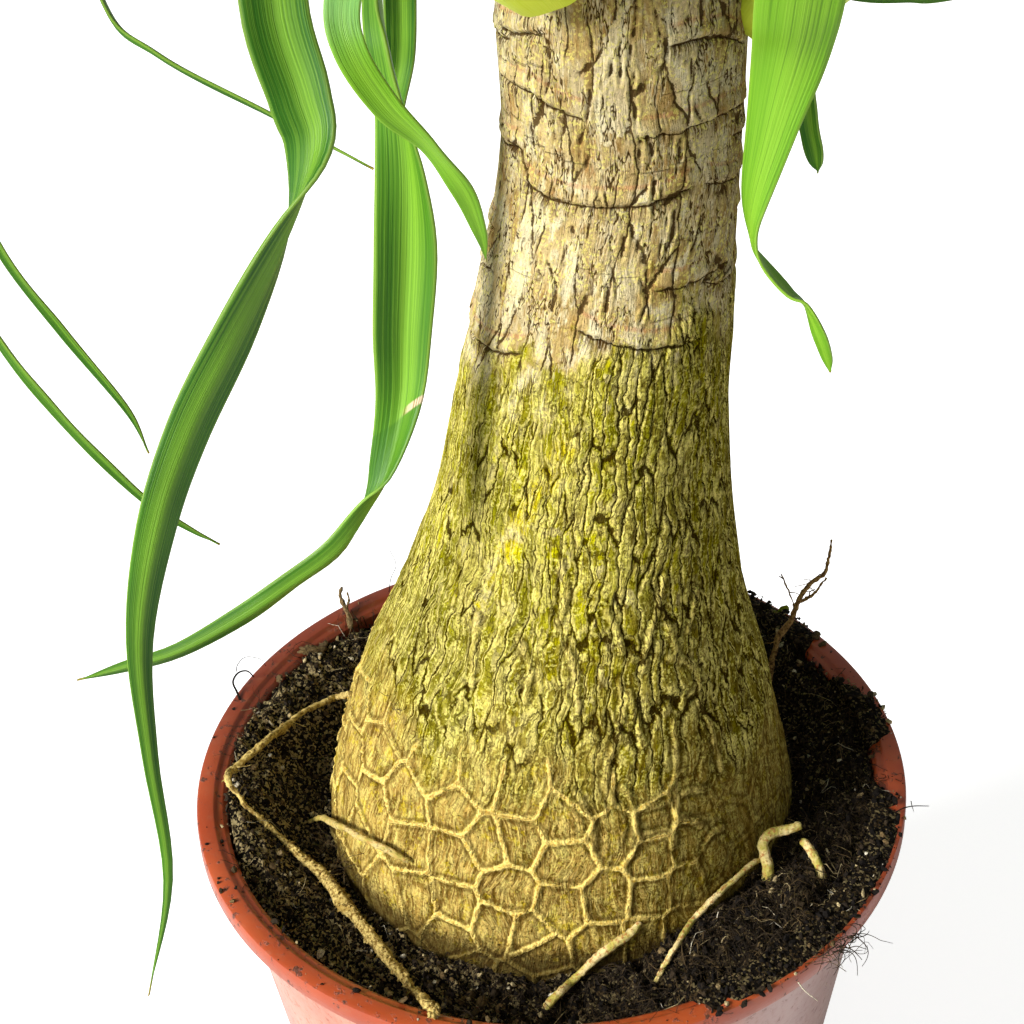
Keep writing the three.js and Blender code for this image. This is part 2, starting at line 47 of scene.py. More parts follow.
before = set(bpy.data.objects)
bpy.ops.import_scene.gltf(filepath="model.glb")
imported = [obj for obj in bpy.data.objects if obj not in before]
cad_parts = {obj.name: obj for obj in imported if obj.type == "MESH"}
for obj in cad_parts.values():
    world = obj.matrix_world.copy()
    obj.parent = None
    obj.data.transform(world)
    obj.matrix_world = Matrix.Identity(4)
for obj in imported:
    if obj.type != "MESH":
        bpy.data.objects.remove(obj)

MM = 0.001

# The camera, in millimetres of the part's frame, and its focal length in the photo's pixels
CAMERA_PLACE = Vector((0.0, -441.4, 579.3))
CAMERA_RIGHT = Vector((0.99911942, -0.01216339, -0.04015504))
CAMERA_UP = Vector((0.0397309, 0.58186823, 0.81231202))
CAMERA_FORWARD = Vector((-0.01348447, 0.81319212, -0.58183911))
FOCAL_PIXELS = 2000.0
PHOTO_SIDE = 1024.0
SENSOR_WIDTH = 36.0

# The trunk: height, X of its axis and radius, in millimetres
TRUNK_KEYS = [
    (118, 3, 22), (126, 3, 48), (140, 3, 65.5), (156, 3.2, 69.2), (175, 3.4, 66.8),
    (193, 3.8, 62.4), (209, 4.8, 58), (227, 6.4, 51.6), (240, 8, 46.8), (270, 11.7, 39.6),
    (302, 14.5, 35.2), (320, 17.1, 33.3), (370, 22.9, 29), (405, 23.6, 29.2), (442, 24, 28.6),
]
CALLUS = [(442, 28.6), (445, 26.6), (448, 22), (450, 14), (451, 3)]
CROWN = Vector((24, 0, 0))
RIDGES_ROUND = 80.0
# Heights over which the growth gives way to the bare stem, and the corky net to the growth
STEM_RISES = (312, 324)
NET_ENDS = (226, 198)

# The soil's usual level, X of the trunk's axis there, and the pot's inner wall and top
SOIL_LEVEL = 156.5
FOOT_X = 3.2
WALL_RADIUS = 95.2
RIM_TOP = 170.0
# The step inside the flange
STEP_RADIUS = 98.8
STEP_TOP = 168.9
# Soil past this radius lies on the rim, this high
SPILL_RADIUS = 95.4
SPILL_TOP = 171.4
# The bed's outside below its surface as radius and height, and the hollow under the trunk
SOIL_SIDES = [(95, 160), (74.5, 8), (70, 4)]
HOLLOW_HEIGHT = 146
# The rings in which crumbs and fibres lie: inner and outer radius
CRUMB_RING = (60, 105)
FIBRE_RING = (68, 96)

# How finely a ray from the camera is followed
RAY_STEP = 0.4

# Centres of the corky net's cells, in the photo's pixels
NET_CELLS = [
    (417, 899), (455, 905), (508, 891), (454, 859), (489, 842), (517, 838), (567, 863), (563, 907),
    (605, 899), (563, 819), (519, 796), (450, 935), (417, 958), (498, 926), (528, 935), (385, 897),
    (358, 838), (408, 842), (404, 803), (456, 807), (375, 807), (473, 972), (540, 954), (616, 835),
    (654, 820), (654, 855), (686, 841), (652, 897), (686, 885), (713, 862), (602, 944), (725, 900),
    (742, 860), (680, 925), (645, 935), (352, 880), (372, 925), (345, 800), (585, 790), (640, 785),
    (690, 800), (480, 780), (440, 770), (735, 820), (765, 830), (760, 790),
]

# Old leaf scars that the photo shows on the stem, as lines of its pixels
STEM_SCARS = [
    [(500, 72), (530, 92), (560, 112), (588, 122)],
    [(640, 138), (672, 134), (704, 124), (728, 112), (745, 98)],
    [(524, 182), (552, 200), (580, 207), (612, 208), (646, 206), (676, 196), (694, 186)],
    [(655, 290), (680, 288), (705, 276), (730, 258)], [(668, 48), (696, 40), (722, 36), (744, 44)],
    [(498, 26), (520, 34), (545, 34)], [(575, 330), (610, 345), (650, 350), (700, 338)],
]

# A pale healed scar on the middle of the trunk, a line of the photo's pixels
PALE_SCARS = [
    [(566, 446), (556, 462), (544, 486), (526, 512), (512, 540), (500, 566), (486, 596), (474, 622)],
]

# Long raised ridges of the bark that the photo shows at the right of the middle
LONG_RIDGES = [
    [(662, 575), (660, 592), (656, 610), (650, 630), (646, 648), (642, 670)],
    [(659, 607), (665, 620), (670, 637), (676, 652)],
    [(667, 657), (685, 660), (694, 672), (696, 685), (690, 695)],
    [(620, 680), (622, 700), (620, 720), (614, 745), (607, 765), (606, 785), (612, 800)],
    [(575, 792), (585, 810), (592, 825), (594, 847)],
    [(621, 787), (631, 797), (634, 825), (632, 855)],
    [(672, 720), (675, 750), (674, 785), (676, 810), (672, 847)],
    [(697, 700), (707, 720), (712, 740), (720, 770)], [(682, 792), (692, 790), (705, 789)],
    [(637, 809), (652, 806), (667, 802)], [(635, 837), (652, 832), (667, 830)],
    [(677, 815), (692, 821), (700, 825)], [(707, 837), (714, 831), (722, 827)],
    [(627, 690), (632, 710), (640, 735), (642, 745)],
    [(567, 650), (575, 667), (577, 690), (579, 710)], [(605, 610), (617, 632), (621, 650)],
    [(695, 590), (689, 617), (686, 630)], [(478, 616), (474, 650), (472, 684)],
    [(560, 560), (566, 590), (560, 620)], [(520, 640), (530, 668), (526, 700)],
]
# Upright cracks of the stem, with light lips
STEM_CRACKS = [
    [(636, -6), (636, 15), (634, 35)], [(622, 40), (619, 50), (621, 65), (620, 82)],
    [(631, 45), (630, 65), (634, 75), (631, 95), (635, 110), (636, 132), (640, 142)],
    [(612, 60), (610, 75), (600, 90), (597, 110)], [(655, 10), (658, 24), (660, 37)],
    [(702, -6), (702, 10), (701, 25)], [(590, 92), (587, 120), (581, 140), (580, 162)],
    [(640, 140), (639, 160), (642, 172)], [(647, 135), (652, 150), (650, 165)],
    [(695, 95), (696, 110), (701, 122)], [(597, 187), (602, 205), (605, 215)],
    [(655, 182), (652, 200), (655, 215)], [(547, 50), (551, 70), (546, 95)], [(527, 42), (531, 57)],
    [(531, 125), (534, 150), (540, 175), (542, 190)], [(552, 115), (555, 140)],
    [(702, 212), (697, 235), (692, 250)], [(675, 212), (672, 237), (665, 255)],
    [(624, 237), (622, 257)], [(665, 37), (666, 62), (659, 77)], [(685, 62), (691, 57), (692, 80)],
    [(691, 140), (690, 160)], [(680, 140), (679, 162)], [(617, -6), (615, 20)],
    [(512, 250), (508, 270), (514, 290)], [(548, 262), (556, 286), (552, 310)],
    [(598, 262), (608, 290), (604, 318)], [(640, 280), (646, 300), (640, 322)],
    [(690, 290), (694, 310), (688, 332)], [(718, 150), (716, 180), (720, 205)],
    [(708, 300), (712, 325)], [(572, 228), (578, 250)],
]


# Small helpers

def smooth(value):
    """0 below 0, 1 above 1 and a soft step between; takes numbers and arrays."""
    clipped = np.clip(value, 0.0, 1.0)
    return clipped * clipped * (3.0 - 2.0 * clipped)


def eased(value):
    """The soft step for one number."""
    return float(smooth(value))


def mix(a, b, share):
    return a + (b - a) * share


def polar(radius, angle, z=0.0):
    """A place at an angle round the Z axis."""
    return Vector((radius * math.cos(angle), radius * math.sin(angle), z))


def along_keys(keys, at):
    """A smooth curve through keys; at is a place along them, a whole number at each key."""
    last = len(keys) - 1
    start = min(int(math.floor(at)), last - 1)
    t = at - start
    here = []
    for item in range(len(keys[0])):
        p1, p2 = keys[start][item], keys[start + 1][item]
        p0 = keys[start - 1][item] if start > 0 else 2 * p1 - p2
        p3 = keys[start + 2][item] if start + 1 < last else 2 * p2 - p1
        bend = (2 * p0 - 5 * p1 + 4 * p2 - p3) * t * t + (3 * p1 - p0 - 3 * p2 + p3) * t**3
        here.append(0.5 * (2 * p1 + (p2 - p0) * t + bend))
    return here


def trunk_at(z):
    """X of the trunk's axis and its radius at a height."""
    key = 0
    while key < len(TRUNK_KEYS) - 2 and z > TRUNK_KEYS[key + 1][0]:
        key += 1
    step = (z - TRUNK_KEYS[key][0]) / (TRUNK_KEYS[key + 1][0] - TRUNK_KEYS[key][0])
    _, x, radius = along_keys(TRUNK_KEYS, key + min(max(step, 0.0), 1.0))
    return x, radius


def photo_ray(px, py):
    """The direction from the camera through a pixel of the photo."""
    right = (px - PHOTO_SIDE / 2) / FOCAL_PIXELS
    up = (PHOTO_SIDE / 2 - py) / FOCAL_PIXELS
    return (CAMERA_FORWARD + CAMERA_RIGHT * right + CAMERA_UP * up).normalized()


def bark_gap(place):
    """How far a place lies outside the trunk."""
    x, radius = trunk_at(place.z)
    return math.hypot(place.x - x, place.y) - radius


def along_ray(px, py, near, far, gap_at):
    """The first place behind a pixel of the photo with a gap below 0, or the one with the least."""
    ray = photo_ray(px, py)
    found, least = None, 1e9
    distance = near
    while distance < far:
        place = CAMERA_PLACE + ray * distance
        gap = gap_at(place)
        if gap < least:
            found, least = place, gap
        if gap < 0:
            break
        distance += RAY_STEP
    return found


def on_trunk(px, py):
    """Where the trunk shows at a pixel of the photo, in millimetres."""
    return along_ray(px, py, 330.0, 680.0, bark_gap)


def soil_height(x, y):
    """The soil's level without its crumbs, in millimetres."""
    radius = math.hypot(x, y)
    angle = math.atan2(y, x)
    outward = eased((radius - 68) / 28)
    sideways = math.cos(angle) ** 2
    rightward = 3 * eased((x + 20) / 90)
    broad = math.sin(0.16 * x + 1) * math.cos(0.19 * y)
    lumps = 0.9 * (broad + 0.55 * math.sin(0.31 * y - 0.12 * x))
    return SOIL_LEVEL + outward * (8 * sideways - 1) + rightward + lumps


def at_height(px, py, z):
    """The place at a height that shows at a pixel of the photo."""
    ray = photo_ray(px, py)
    return CAMERA_PLACE + ray * ((z - CAMERA_PLACE.z) / ray.z)


def seen_at(px, py, lift=0.0):
    """Where the soil, the pot's rim or the bark shows at a pixel, so much above it."""
    return along_ray(px, py, 380.0, 700.0, lambda place: min(
        bark_gap(place) - lift, place.z - (rest_height(place.x, place.y) + lift)))


def number_stream(seed):
    """The same even chances that the leaves of the frame were grown with."""
    state = seed
    word = 0xFFFFFFFF

    def draw():
        nonlocal state
        state = (state + 0x6D2B79F5) & word
        mixed = ((state ^ (state >> 15)) * (1 | state)) & word
        mixed = ((mixed + (((mixed ^ (mixed >> 7)) * (61 | mixed)) & word)) & word) ^ mixed
        return (mixed ^ (mixed >> 14)) / 4294967296

    return draw


def finished(name, shape, material, smooth_faces=True):
    """Makes the piece's object from its bmesh, which is in millimetres."""
    shape.transform(Matrix.Scale(MM, 4))
    mesh = bpy.data.meshes.new(name)
    shape.to_mesh(mesh)
    shape.free()
    piece = bpy.data.objects.new(name, mesh)
    bpy.context.scene.collection.objects.link(piece)
    mesh.materials.append(material)
    if smooth_faces:
        mesh.shade_smooth()
    return piece


def gathered(layer_names, jobs, batch=40):
    """Makes many small shapes a few at a time, since operators look through all of their mesh."""
    shape = bmesh.new()
    for name in layer_names:
        shape.verts.layers.float.new(name)
    for start in range(0, len(jobs), batch):
        part = bmesh.new()
        layers = [part.verts.layers.float.new(name) for name in layer_names]
        for job in jobs[start:start + batch]:
            job(part, layers)
        bmesh.ops.remove_doubles(part, verts=part.verts, dist=0.001)
        bmesh.ops.recalc_face_normals(part, faces=part.faces)
        mesh = bpy.data.meshes.new("part")
        part.to_mesh(mesh)
        part.free()
        shape.from_mesh(mesh)
        bpy.data.meshes.remove(mesh)
    return shape


def sewn(shape, capped=False):
    """Joins the seams, closes open rims with a fan if asked, and turns the faces outward."""
    bmesh.ops.remove_doubles(shape, verts=shape.verts, dist=0.01)
    if capped:
        rims = [edge for edge in shape.edges if edge.is_boundary]
        bmesh.ops.holes_fill(shape, edges=rims, sides=0)
        bmesh.ops.poke(shape, faces=[face for face in shape.faces if len(face.verts) > 4])
    bmesh.ops.recalc_face_normals(shape, faces=shape.faces)
    return shape


def grid_points(shape, columns, rows):
    """Adds a grid; each of its points comes with its place across, 0 to 1, and its row."""
    made = bmesh.ops.create_grid(shape, x_segments=columns, y_segments=rows, size=0.5)["verts"]
    return [(vert, vert.co.x + 0.5, round((vert.co.y + 0.5) * rows)) for vert in made]


def spun(shape, outline, steps):
    """Turns an outline of radii and heights about the Z axis: a grid that is rolled up."""
    for vert, turn, row in grid_points(shape, steps, len(outline) - 1):
        radius, z = outline[row]
        vert.co = polar(radius, -2 * math.pi * turn, z)


def search_tree(places):
    tree = KDTree(len(places))
    for index, place in enumerate(places):
        tree.insert(place, index)
    tree.balance()
    return tree


def carried(piece, slot, *nodes):
    """The piece rides on the plant and stands for the frame's nodes, which are hidden; the slot is
    not used.
    """
    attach(piece, "root")
    if nodes:
        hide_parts(*nodes)
    return piece


def set_points(mesh, name, values):
    """Stores a number or a place for each point."""
    kind, item = ("FLOAT_VECTOR", "vector") if values.ndim == 2 else ("FLOAT", "value")
    layer = mesh.attributes.new(name, kind, "POINT")
    layer.data.foreach_set(item, values.ravel())


# Node trees

class Value:
    """What a socket puts out, to reckon with: each sign and each method adds one node."""

    def __init__(self, graph, socket):
        self.graph = graph
        self.socket = socket

    def __add__(self, other):
        return self.graph.math("ADD", self, other)

    def __sub__(self, other):
        return self.graph.math("SUBTRACT", self, other)

    def __rsub__(self, other):
        return self.graph.math("SUBTRACT", other, self)

    def __mul__(self, other):
        return self.graph.math("MULTIPLY", self, other)

    def __abs__(self):
        return self.graph.math("ABSOLUTE", self)

    def times(self, factor, plus):
        return self.graph.math("MULTIPLY_ADD", self, factor, plus)

    def largest(self, other, clamp=False):
        return self.graph.math("MAXIMUM", self, other, clamp=clamp)

    def step(self, low, high, bottom=0.0, top=1.0):
        """A soft step from bottom to top as this goes from low to high."""
        return self.graph.made("ShaderNodeMapRange", (self, low, high, bottom, top),
                               interpolation_type="SMOOTHSTEP")

    def between(self, a, b):
        """From a to b as this goes from 0 to 1."""
        return self.graph.made("ShaderNodeMix", {0: self, 2: a, 3: b}, data_type="FLOAT")

    def tint(self, share, other):
        """This colour with a share of another one over it."""
        return self.graph.tint(share, self, other)

    def scaled(self, factor):
        return self.graph.made("ShaderNodeVectorMath", {0: self, "Scale": factor},
                               operation="SCALE")

    def stretched(self, *factors):
        return self.graph.made("ShaderNodeVectorMath", (self, factors), operation="MULTIPLY")

    def parts(self):
        node = self.graph.node("ShaderNodeSeparateXYZ", {0: self})
        return [Value(self.graph, socket) for socket in node.outputs]

    def noise(self, scale, detail=2.0, roughness=0.5, output="Fac"):
        return self.graph.made("ShaderNodeTexNoise", {
            "Vector": self, "Scale": scale, "Detail": detail, "Roughness": roughness,
        }, output)

    def noise_parts(self, *settings):
        """Three noises that have nothing to do with each other."""
        return self.noise(*settings, output="Color").parts()

    def cells(self, output, scale=1.0, feature="F1", randomness=1.0, flat=False):
        return self.graph.made(
            "ShaderNodeTexVoronoi", {"Vector": self, "Scale": scale, "Randomness": randomness},
            output, feature=feature, voronoi_dimensions="2D" if flat else "3D")

    def cell_tones(self, scale=1.0, randomness=1.0, flat=False):
        """Three chances for each cell."""
        return self.cells("Color", scale, "F1", randomness, flat).parts()

    def edge_gap(self, randomness):
        """How far this place is from the nearest edge between two flat cells."""
        return self.cells("Distance", 1.0, "DISTANCE_TO_EDGE", randomness, True)


class Graph:
    """Adds nodes to a shader or geometry tree and joins them."""

    def __init__(self, tree):
        self.tree = tree
        self.count = 0

    def node(self, kind, given=(), **settings):
        """A node; given holds what its inputs take, in order or by name or number."""
        made = self.tree.nodes.new(kind)
        made.location = ((self.count % 12) * 190, -(self.count // 12) * 260)
        self.count += 1
        for key, value in settings.items():
            setattr(made, key, value)
        for key, value in given.items() if isinstance(given, dict) else enumerate(given):
            self.join(value, made.inputs[key])
        return made

    def made(self, kind, given=(), output=0, **settings):
        """One output of a new node."""
        return Value(self, self.node(kind, given, **settings).outputs[output])

    def join(self, value, socket):
        if isinstance(value, Value):
            self.tree.links.new(value.socket, socket)
        else:
            socket.default_value = value

    def math(self, operation, *values, clamp=False):
        return self.made("ShaderNodeMath", values, operation=operation, use_clamp=clamp)

    def vector(self, *values):
        return self.made("ShaderNodeCombineXYZ", values)

    def tint(self, share, a, b):
        """Mixes two colours, each a socket, a setting or a screen colour of three parts."""
        a, b = (colour(*given) if isinstance(given, tuple) else given for given in (a, b))
        return self.made("ShaderNodeMix", {0: share, 6: a, 7: b}, 2, data_type="RGBA")

    def attribute(self, name, output="Fac"):
        return self.made("ShaderNodeAttribute", output=output, attribute_name=name)

    def object_place(self):
        """Object coordinates in millimetres."""
        return self.made("ShaderNodeTexCoord", output="Object").scaled(1000.0)

    def grit(self, place, scale):
        """What the shared grit group puts out; scale is its grains per millimetre."""
        node = self.node("ShaderNodeGroup", node_tree=grit_tree())
        self.join(place, node.inputs[0])
        self.join(scale, node.inputs[1])
        return SimpleNamespace(**{
            socket.name.lower(): Value(self, socket) for socket in node.outputs
        })

    def dress(self, shader, skin, height, strength=1.0):
        """Gives the shader its colour, and its bump from a height in millimetres."""
        self.join(skin, shader.inputs["Base Color"])
        bump = self.made("ShaderNodeBump", {"Strength": strength, "Distance": MM, "Height": height})
        self.join(bump, shader.inputs["Normal"])


def grit_tree():
    """Fine grains that bark, soil, roots and dusty plastic share: roughness, pits and specks."""
    tree = bpy.data.node_groups.get("Grit")
    if tree:
        return tree
    tree = bpy.data.node_groups.new("Grit", "ShaderNodeTree")
    tree.interface.new_socket("Place", in_out="INPUT", socket_type="NodeSocketVector")
    tree.interface.new_socket("Grains per mm", in_out="INPUT", socket_type="NodeSocketFloat")
    for name in ("Rough", "Grain", "Pits", "Light"):
        tree.interface.new_socket(name, in_out="OUTPUT", socket_type="NodeSocketFloat")
    graph = Graph(tree)
    start = graph.node("NodeGroupInput")
    place, scale = (Value(graph, start.outputs[order]) for order in range(2))
    rough = place.noise(scale * 0.7, 4.0, 0.7)
    grain = place.cell_tones(scale)[0]
    drift = place.noise(scale * 0.12, 2.0)
    light = grain.step(0.7, 0.84) * drift.step(0.38, 0.52)
    pits = drift.times(0.12, plus=rough).step(0.46, 0.4)
    graph.node("NodeGroupOutput", (rough, grain, pits, light))
    return tree


def colour(red, green, blue):
    """A screen colour, 0 to 255 each, as the linear colour that the shader takes."""
    return tuple(
        (part / 255 / 12.92) if part <= 10.3 else ((part / 255 + 0.055) / 1.055) ** 2.4
        for part in (red, green, blue)
    ) + (1.0,)


def hue(name, description, *parts):
    """A colour that the user can change, given as a screen colour."""
    return FloatVectorProperty(name=name, description=description, subtype="COLOR", size=4,
                               min=0, max=1, default=colour(*parts))


def whole(name, description, default):
    """A whole number that the user can change."""
    return IntProperty(name=name, description=description, default=default)


def amount(name, description, default, **more):
    """A measure that the user can change."""
    return FloatProperty(name=name, description=description, default=default, **more)


def new_material(name, roughness=0.6, **sockets):
    """A material with its shader; the sockets are set on the shader itself."""
    material = bpy.data.materials.new(name)
    material.use_nodes = True
    graph = Graph(material.node_tree)
    shader = material.node_tree.nodes["Principled BSDF"]
    shader.inputs["Roughness"].default_value = roughness
    for key, value in sockets.items():
        shader.inputs[key.replace("_", " ")].default_value = value
    return material, graph, shader


# Bark

# What the trunk's points store beside their place: how far they are from each kind of line in
# millimetres, and how strong the nearest scar is there, 0 to 1
BARK_LINES = ("net line", "scar line", "scar strength", "long ridge", "stem crack")


def bark_pattern(graph, place, net, scar, scar_strength, long_ridge, stem_crack_gap):
    """Heights in millimetres and masks of the bark; the same in the shader and in the relief."""
    across, out, height_here = place.parts()
    shift = place.noise_parts(0.055, 2.0)
    jitter = place.noise_parts(0.26, 4.0, 0.65)
    wander = shift[2].times(60.0, plus=-30.0)
    wandering = wander + height_here
    # The growth reaches higher in front than at the left
    stem_start = wandering - across.step(-24, 4, 0.0, 14.0)
    stem = stem_start.step(*STEM_RISES)
    foot = across.times(0.1, plus=wandering).step(*NET_ENDS)

    # Turns of the trunk from its back, where an uneven line parts the last cells from the first
    turn = graph.math("ARCTAN2", across, out * -1.0).times(1 / (2 * math.pi), plus=0.5)
    seam = graph.math("LESS_THAN", turn, jitter[1].times(0.07, plus=-0.02))
    turn = turn + seam
    sway = jitter[0].times(0.85, plus=shift[0] * 2.2)
    lane = turn.times(RIDGES_ROUND, plus=sway)
    calm_lane = turn.times(RIDGES_ROUND, plus=shift[0] * 2.2)
    rise = height_here.times(1 / 26, plus=jitter[1] * 0.35)

    # Upright ridges, parted by wavy furrows that have light lips
    ridge = graph.vector(lane, rise).edge_gap(0.9)
    furrow_low = ridge.step(0.065, 0.018)
    # Plates of the stem, and the short slits between them
    half_lane = lane * 0.42
    plate = graph.vector(half_lane, rise * 0.95).edge_gap(1.0)
    patchy = place.stretched(0.11, 0.11, 0.06).noise(1.0, 2.0)
    broken = patchy.step(0.42, 0.55)
    slit_noise = place.stretched(0.4, 0.4, 0.08).noise(1.0, 3.0, 0.6)
    slits = abs(slit_noise - 0.5)
    slit_zone = patchy.step(0.56, 0.46)
    slit = slits.step(0.017, 0.007) * slit_zone
    slit_lip = slits.step(0.02, 0.032) * slits.step(0.07, 0.045) * slit_zone
    plate_low = plate.step(0.06, 0.015) * broken
    stem_low = plate_low.largest(slit)

    scar_gap = abs(jitter[2].times(2.4, plus=scar - 1.2))
    thick = shift[1].step(0.35, 0.65, 0.25, 0.8)
    scar_groove = scar_gap.step(thick, 0.05) * scar_strength
    scar_lip = scar.step(0.4, 1.2) * scar.step(6.0, 1.2) * scar_strength
    net_jitter = jitter[2].times(1.8, plus=net - 0.9)
    wide = shift[2].step(0.4, 0.62, 0.65, 1.05)
    net_band = net_jitter.step(wide, 0.25) * foot
    weak = shift[1].times(60.0, plus=across).step(72, 40)
    net_band = net_band * weak.between(0.25, 1.0)

    # Lines that are laid along the photo's: raised ridges with a furrow beside, and stem cracks
    line_gap = jitter[1].times(2.0, plus=long_ridge - 1.0)
    vein = line_gap.step(1.6, 0.2)
    beside_vein = line_gap.step(0.8, 1.4) * line_gap.step(2.6, 1.6)
    crack_gap = jitter[1].times(2.0, plus=stem_crack_gap - 1.0)
    laid_crack = crack_gap.step(0.5, 0.15)
    laid_lip = crack_gap.step(0.5, 0.9) * crack_gap.step(1.7, 1.1)

    middle = 1.0 - stem.largest(foot, clamp=True)
    ridged = foot.times(0.35, plus=middle)
    worn = broken.largest(across.step(-18, 6))
    furrow = furrow_low * (ridged * worn.between(0.3, 1.0))
    stem_crack = (stem_low * stem).largest(laid_crack)
    crack = furrow.largest(stem_crack.largest(scar_groove))

    # Furrows are deeper on the side that the trunk leans to
    depth = ridged * shift[2].times(90.0, plus=across).step(0, 90, 0.5, 1.2)
    depth = depth * worn.between(0.5, 1.0)
    height = ridge.step(0.0, 0.12) * depth * 0.7
    height = net_band.times(0.75, plus=height)
    height = vein.times(0.4, plus=height)
    height = beside_vein.times(-0.35, plus=height)
    height = laid_lip.times(0.25, plus=height)
    height = scar_lip.times(0.6, plus=height)
    height = stem_crack.times(-0.5, plus=height)
    height = scar_groove.times(-0.9, plus=height)
    return SimpleNamespace(
        height=height, crack=crack, stem=stem, foot=foot, net=net_band, ridge=ridge, middle=middle,
        slit_lip=slit_lip, ridged=ridged, calm_lane=calm_lane, net_gap=net_jitter,
        height_here=height_here, across=across, wandering=wandering, rise=rise, lane=lane,
        vein=vein, beside_vein=beside_vein, laid_lip=laid_lip, half_lane=half_lane,
        stem_start=stem_start,
    )


def bark_material(settings):
    material, graph, shader = new_material("Corky bark", 0.9, Specular_IOR_Level=0.0)
    place = graph.attribute("bark place", "Vector")
    strength = graph.attribute("scar strength")
    scar = graph.attribute("scar line")
    pattern = bark_pattern(graph, place, *map(graph.attribute, BARK_LINES))
    grains = graph.grit(place, 1.7)
    # Fine upright streaks follow the ridges; broad patches and flakes lie over them
    grain = graph.vector(pattern.calm_lane * 4.6, pattern.height_here * 0.16)
    streak = grain.noise(1.0, 4.0, 0.65)
    broad = place.noise(0.05, 3.0, 0.6)
    patch = place.stretched(0.2, 0.2, 0.09).noise(1.0, 3.0, 0.65)
    ragged_lane = grains.rough.times(1.2, plus=pattern.lane * 2.7)
    ragged_rise = grains.rough.times(1.0, plus=pattern.rise * 7.0)
    flake = graph.vector(ragged_lane, ragged_rise).cell_tones(flat=True)[0]

    # A finer net of cracks inside the ridges
    fine_lane = pattern.lane.times(2.3, plus=7.0)
    fine_net = graph.vector(fine_lane, pattern.rise * 3.4).edge_gap(1.0)
    fine_line = fine_net.step(0.1, 0.02) * pattern.ridged * patch.step(0.66, 0.46)

    tan = graph.tint(broad.step(0.38, 0.62), settings.tan, (226, 200, 142))
    tan = tan.tint(patch.step(0.5, 0.6), (242, 226, 180))
    tan = tan.tint(patch.step(0.46, 0.34), (184, 142, 84))
    # Each plate of the stem has its own tone
    plate_tone = graph.vector(pattern.half_lane, pattern.rise * 0.95).cell_tones(flat=True)[0]
    tan = tan.tint(plate_tone.step(0.6, 0.75, 0.0, 0.55), (248, 234, 190))
    tan = tan.tint(plate_tone.step(0.4, 0.25, 0.0, 0.5), (168, 136, 78))
    ring = abs(scar - 5.0).step(0.9, 0.2) * strength
    tan = tan.tint(ring * 0.5, (210, 140, 96))
    fringe = scar.step(-5.0, -0.5) * scar.step(0.6, 0.0)
    fringe = fringe * strength * streak.step(0.55, 0.45)
    tan = tan.tint(fringe, (92, 66, 36))

    olive = graph.tint(patch.step(0.36, 0.62), (150, 136, 34), (214, 200, 84))
    moss = place.noise(0.11, 4.0, 0.7).step(0.42, 0.56)
    edge = pattern.wandering.step(284, 300) * patch.step(0.38, 0.48)
    moss = moss.largest(edge * 0.9)
    olive = olive.tint(moss * 0.8, settings.moss)
    bright = place.noise(0.2, 3.0, 0.7).step(0.57, 0.64)
    olive = olive.tint(bright, (212, 202, 12))
    shade_moss = place.stretched(0.13, 0.13, 0.08).noise(1.4, 3.0, 0.7).step(0.6, 0.68)
    olive = olive.tint(shade_moss * 0.7, (98, 104, 20))
    pale = place.stretched(0.2, 0.2, 0.1).noise(1.3, 2.0).step(0.59, 0.66)
    olive = olive.tint(pale * 0.8, (234, 218, 144))
    # Each upright ridge has its own tone, from cream to dark green
    ridge_tone = graph.vector(pattern.lane, pattern.rise).cell_tones(randomness=0.9, flat=True)
    olive = olive.tint(ridge_tone[0].step(0.55, 0.75, 0.0, 0.45), (226, 210, 116))
    olive = olive.tint(ridge_tone[1].step(0.35, 0.15, 0.0, 0.55), (128, 126, 16))
    # Painted shade: the growth is painted darker towards its bottom
    olive = olive.tint(pattern.wandering.step(266, 236, 0.0, 0.45), (118, 98, 20))
    healed = graph.attribute("pale scar").step(4.2, 1.2) * patch.step(0.36, 0.5)
    olive = olive.tint(healed, graph.tint(moss, (240, 222, 154), (226, 206, 30)))

    brown = graph.tint(patch.step(0.4, 0.6), (122, 92, 40), (182, 148, 72))
    fibre = graph.vector(pattern.calm_lane * 9.0, pattern.height_here * 0.12).noise(1.0, 2.0)
    brown = brown.tint(fibre.step(0.5, 0.6, 0.0, 0.7), (226, 196, 112))
    brown = brown.tint(streak.step(0.52, 0.6, 0.0, 0.7), (214, 182, 96))
    brown = brown.tint(bright * 0.7, (206, 178, 34))

    skin = olive.tint(pattern.foot, brown)
    ragged = (patch - 0.5).times(80.0, plus=pattern.stem_start)
    skin = skin.tint(ragged.step(306, 330), tan)
    # Painted shade: the right side, away from the key light, is painted darker olive-brown, together
    # with the darker growth there
    side = broad.times(24.0, plus=pattern.across).step(14, 50, 0.0, 0.6)
    # The lit side is less marked by streaks, cracks and pits
    marked = pattern.across.step(-30, 20, 0.62, 1.0)
    band = pattern.wandering.step(222, 232) * pattern.wandering.step(268, 250)
    band = band * patch.times(40.0, plus=pattern.across).step(16, -10, 0.0, 0.5)
    skin = skin.tint(band, (112, 112, 36))
    # Painted shade and darker growth over the right side
    skin = skin.tint(side, graph.tint(pattern.stem, (92, 74, 0), (112, 90, 40)))
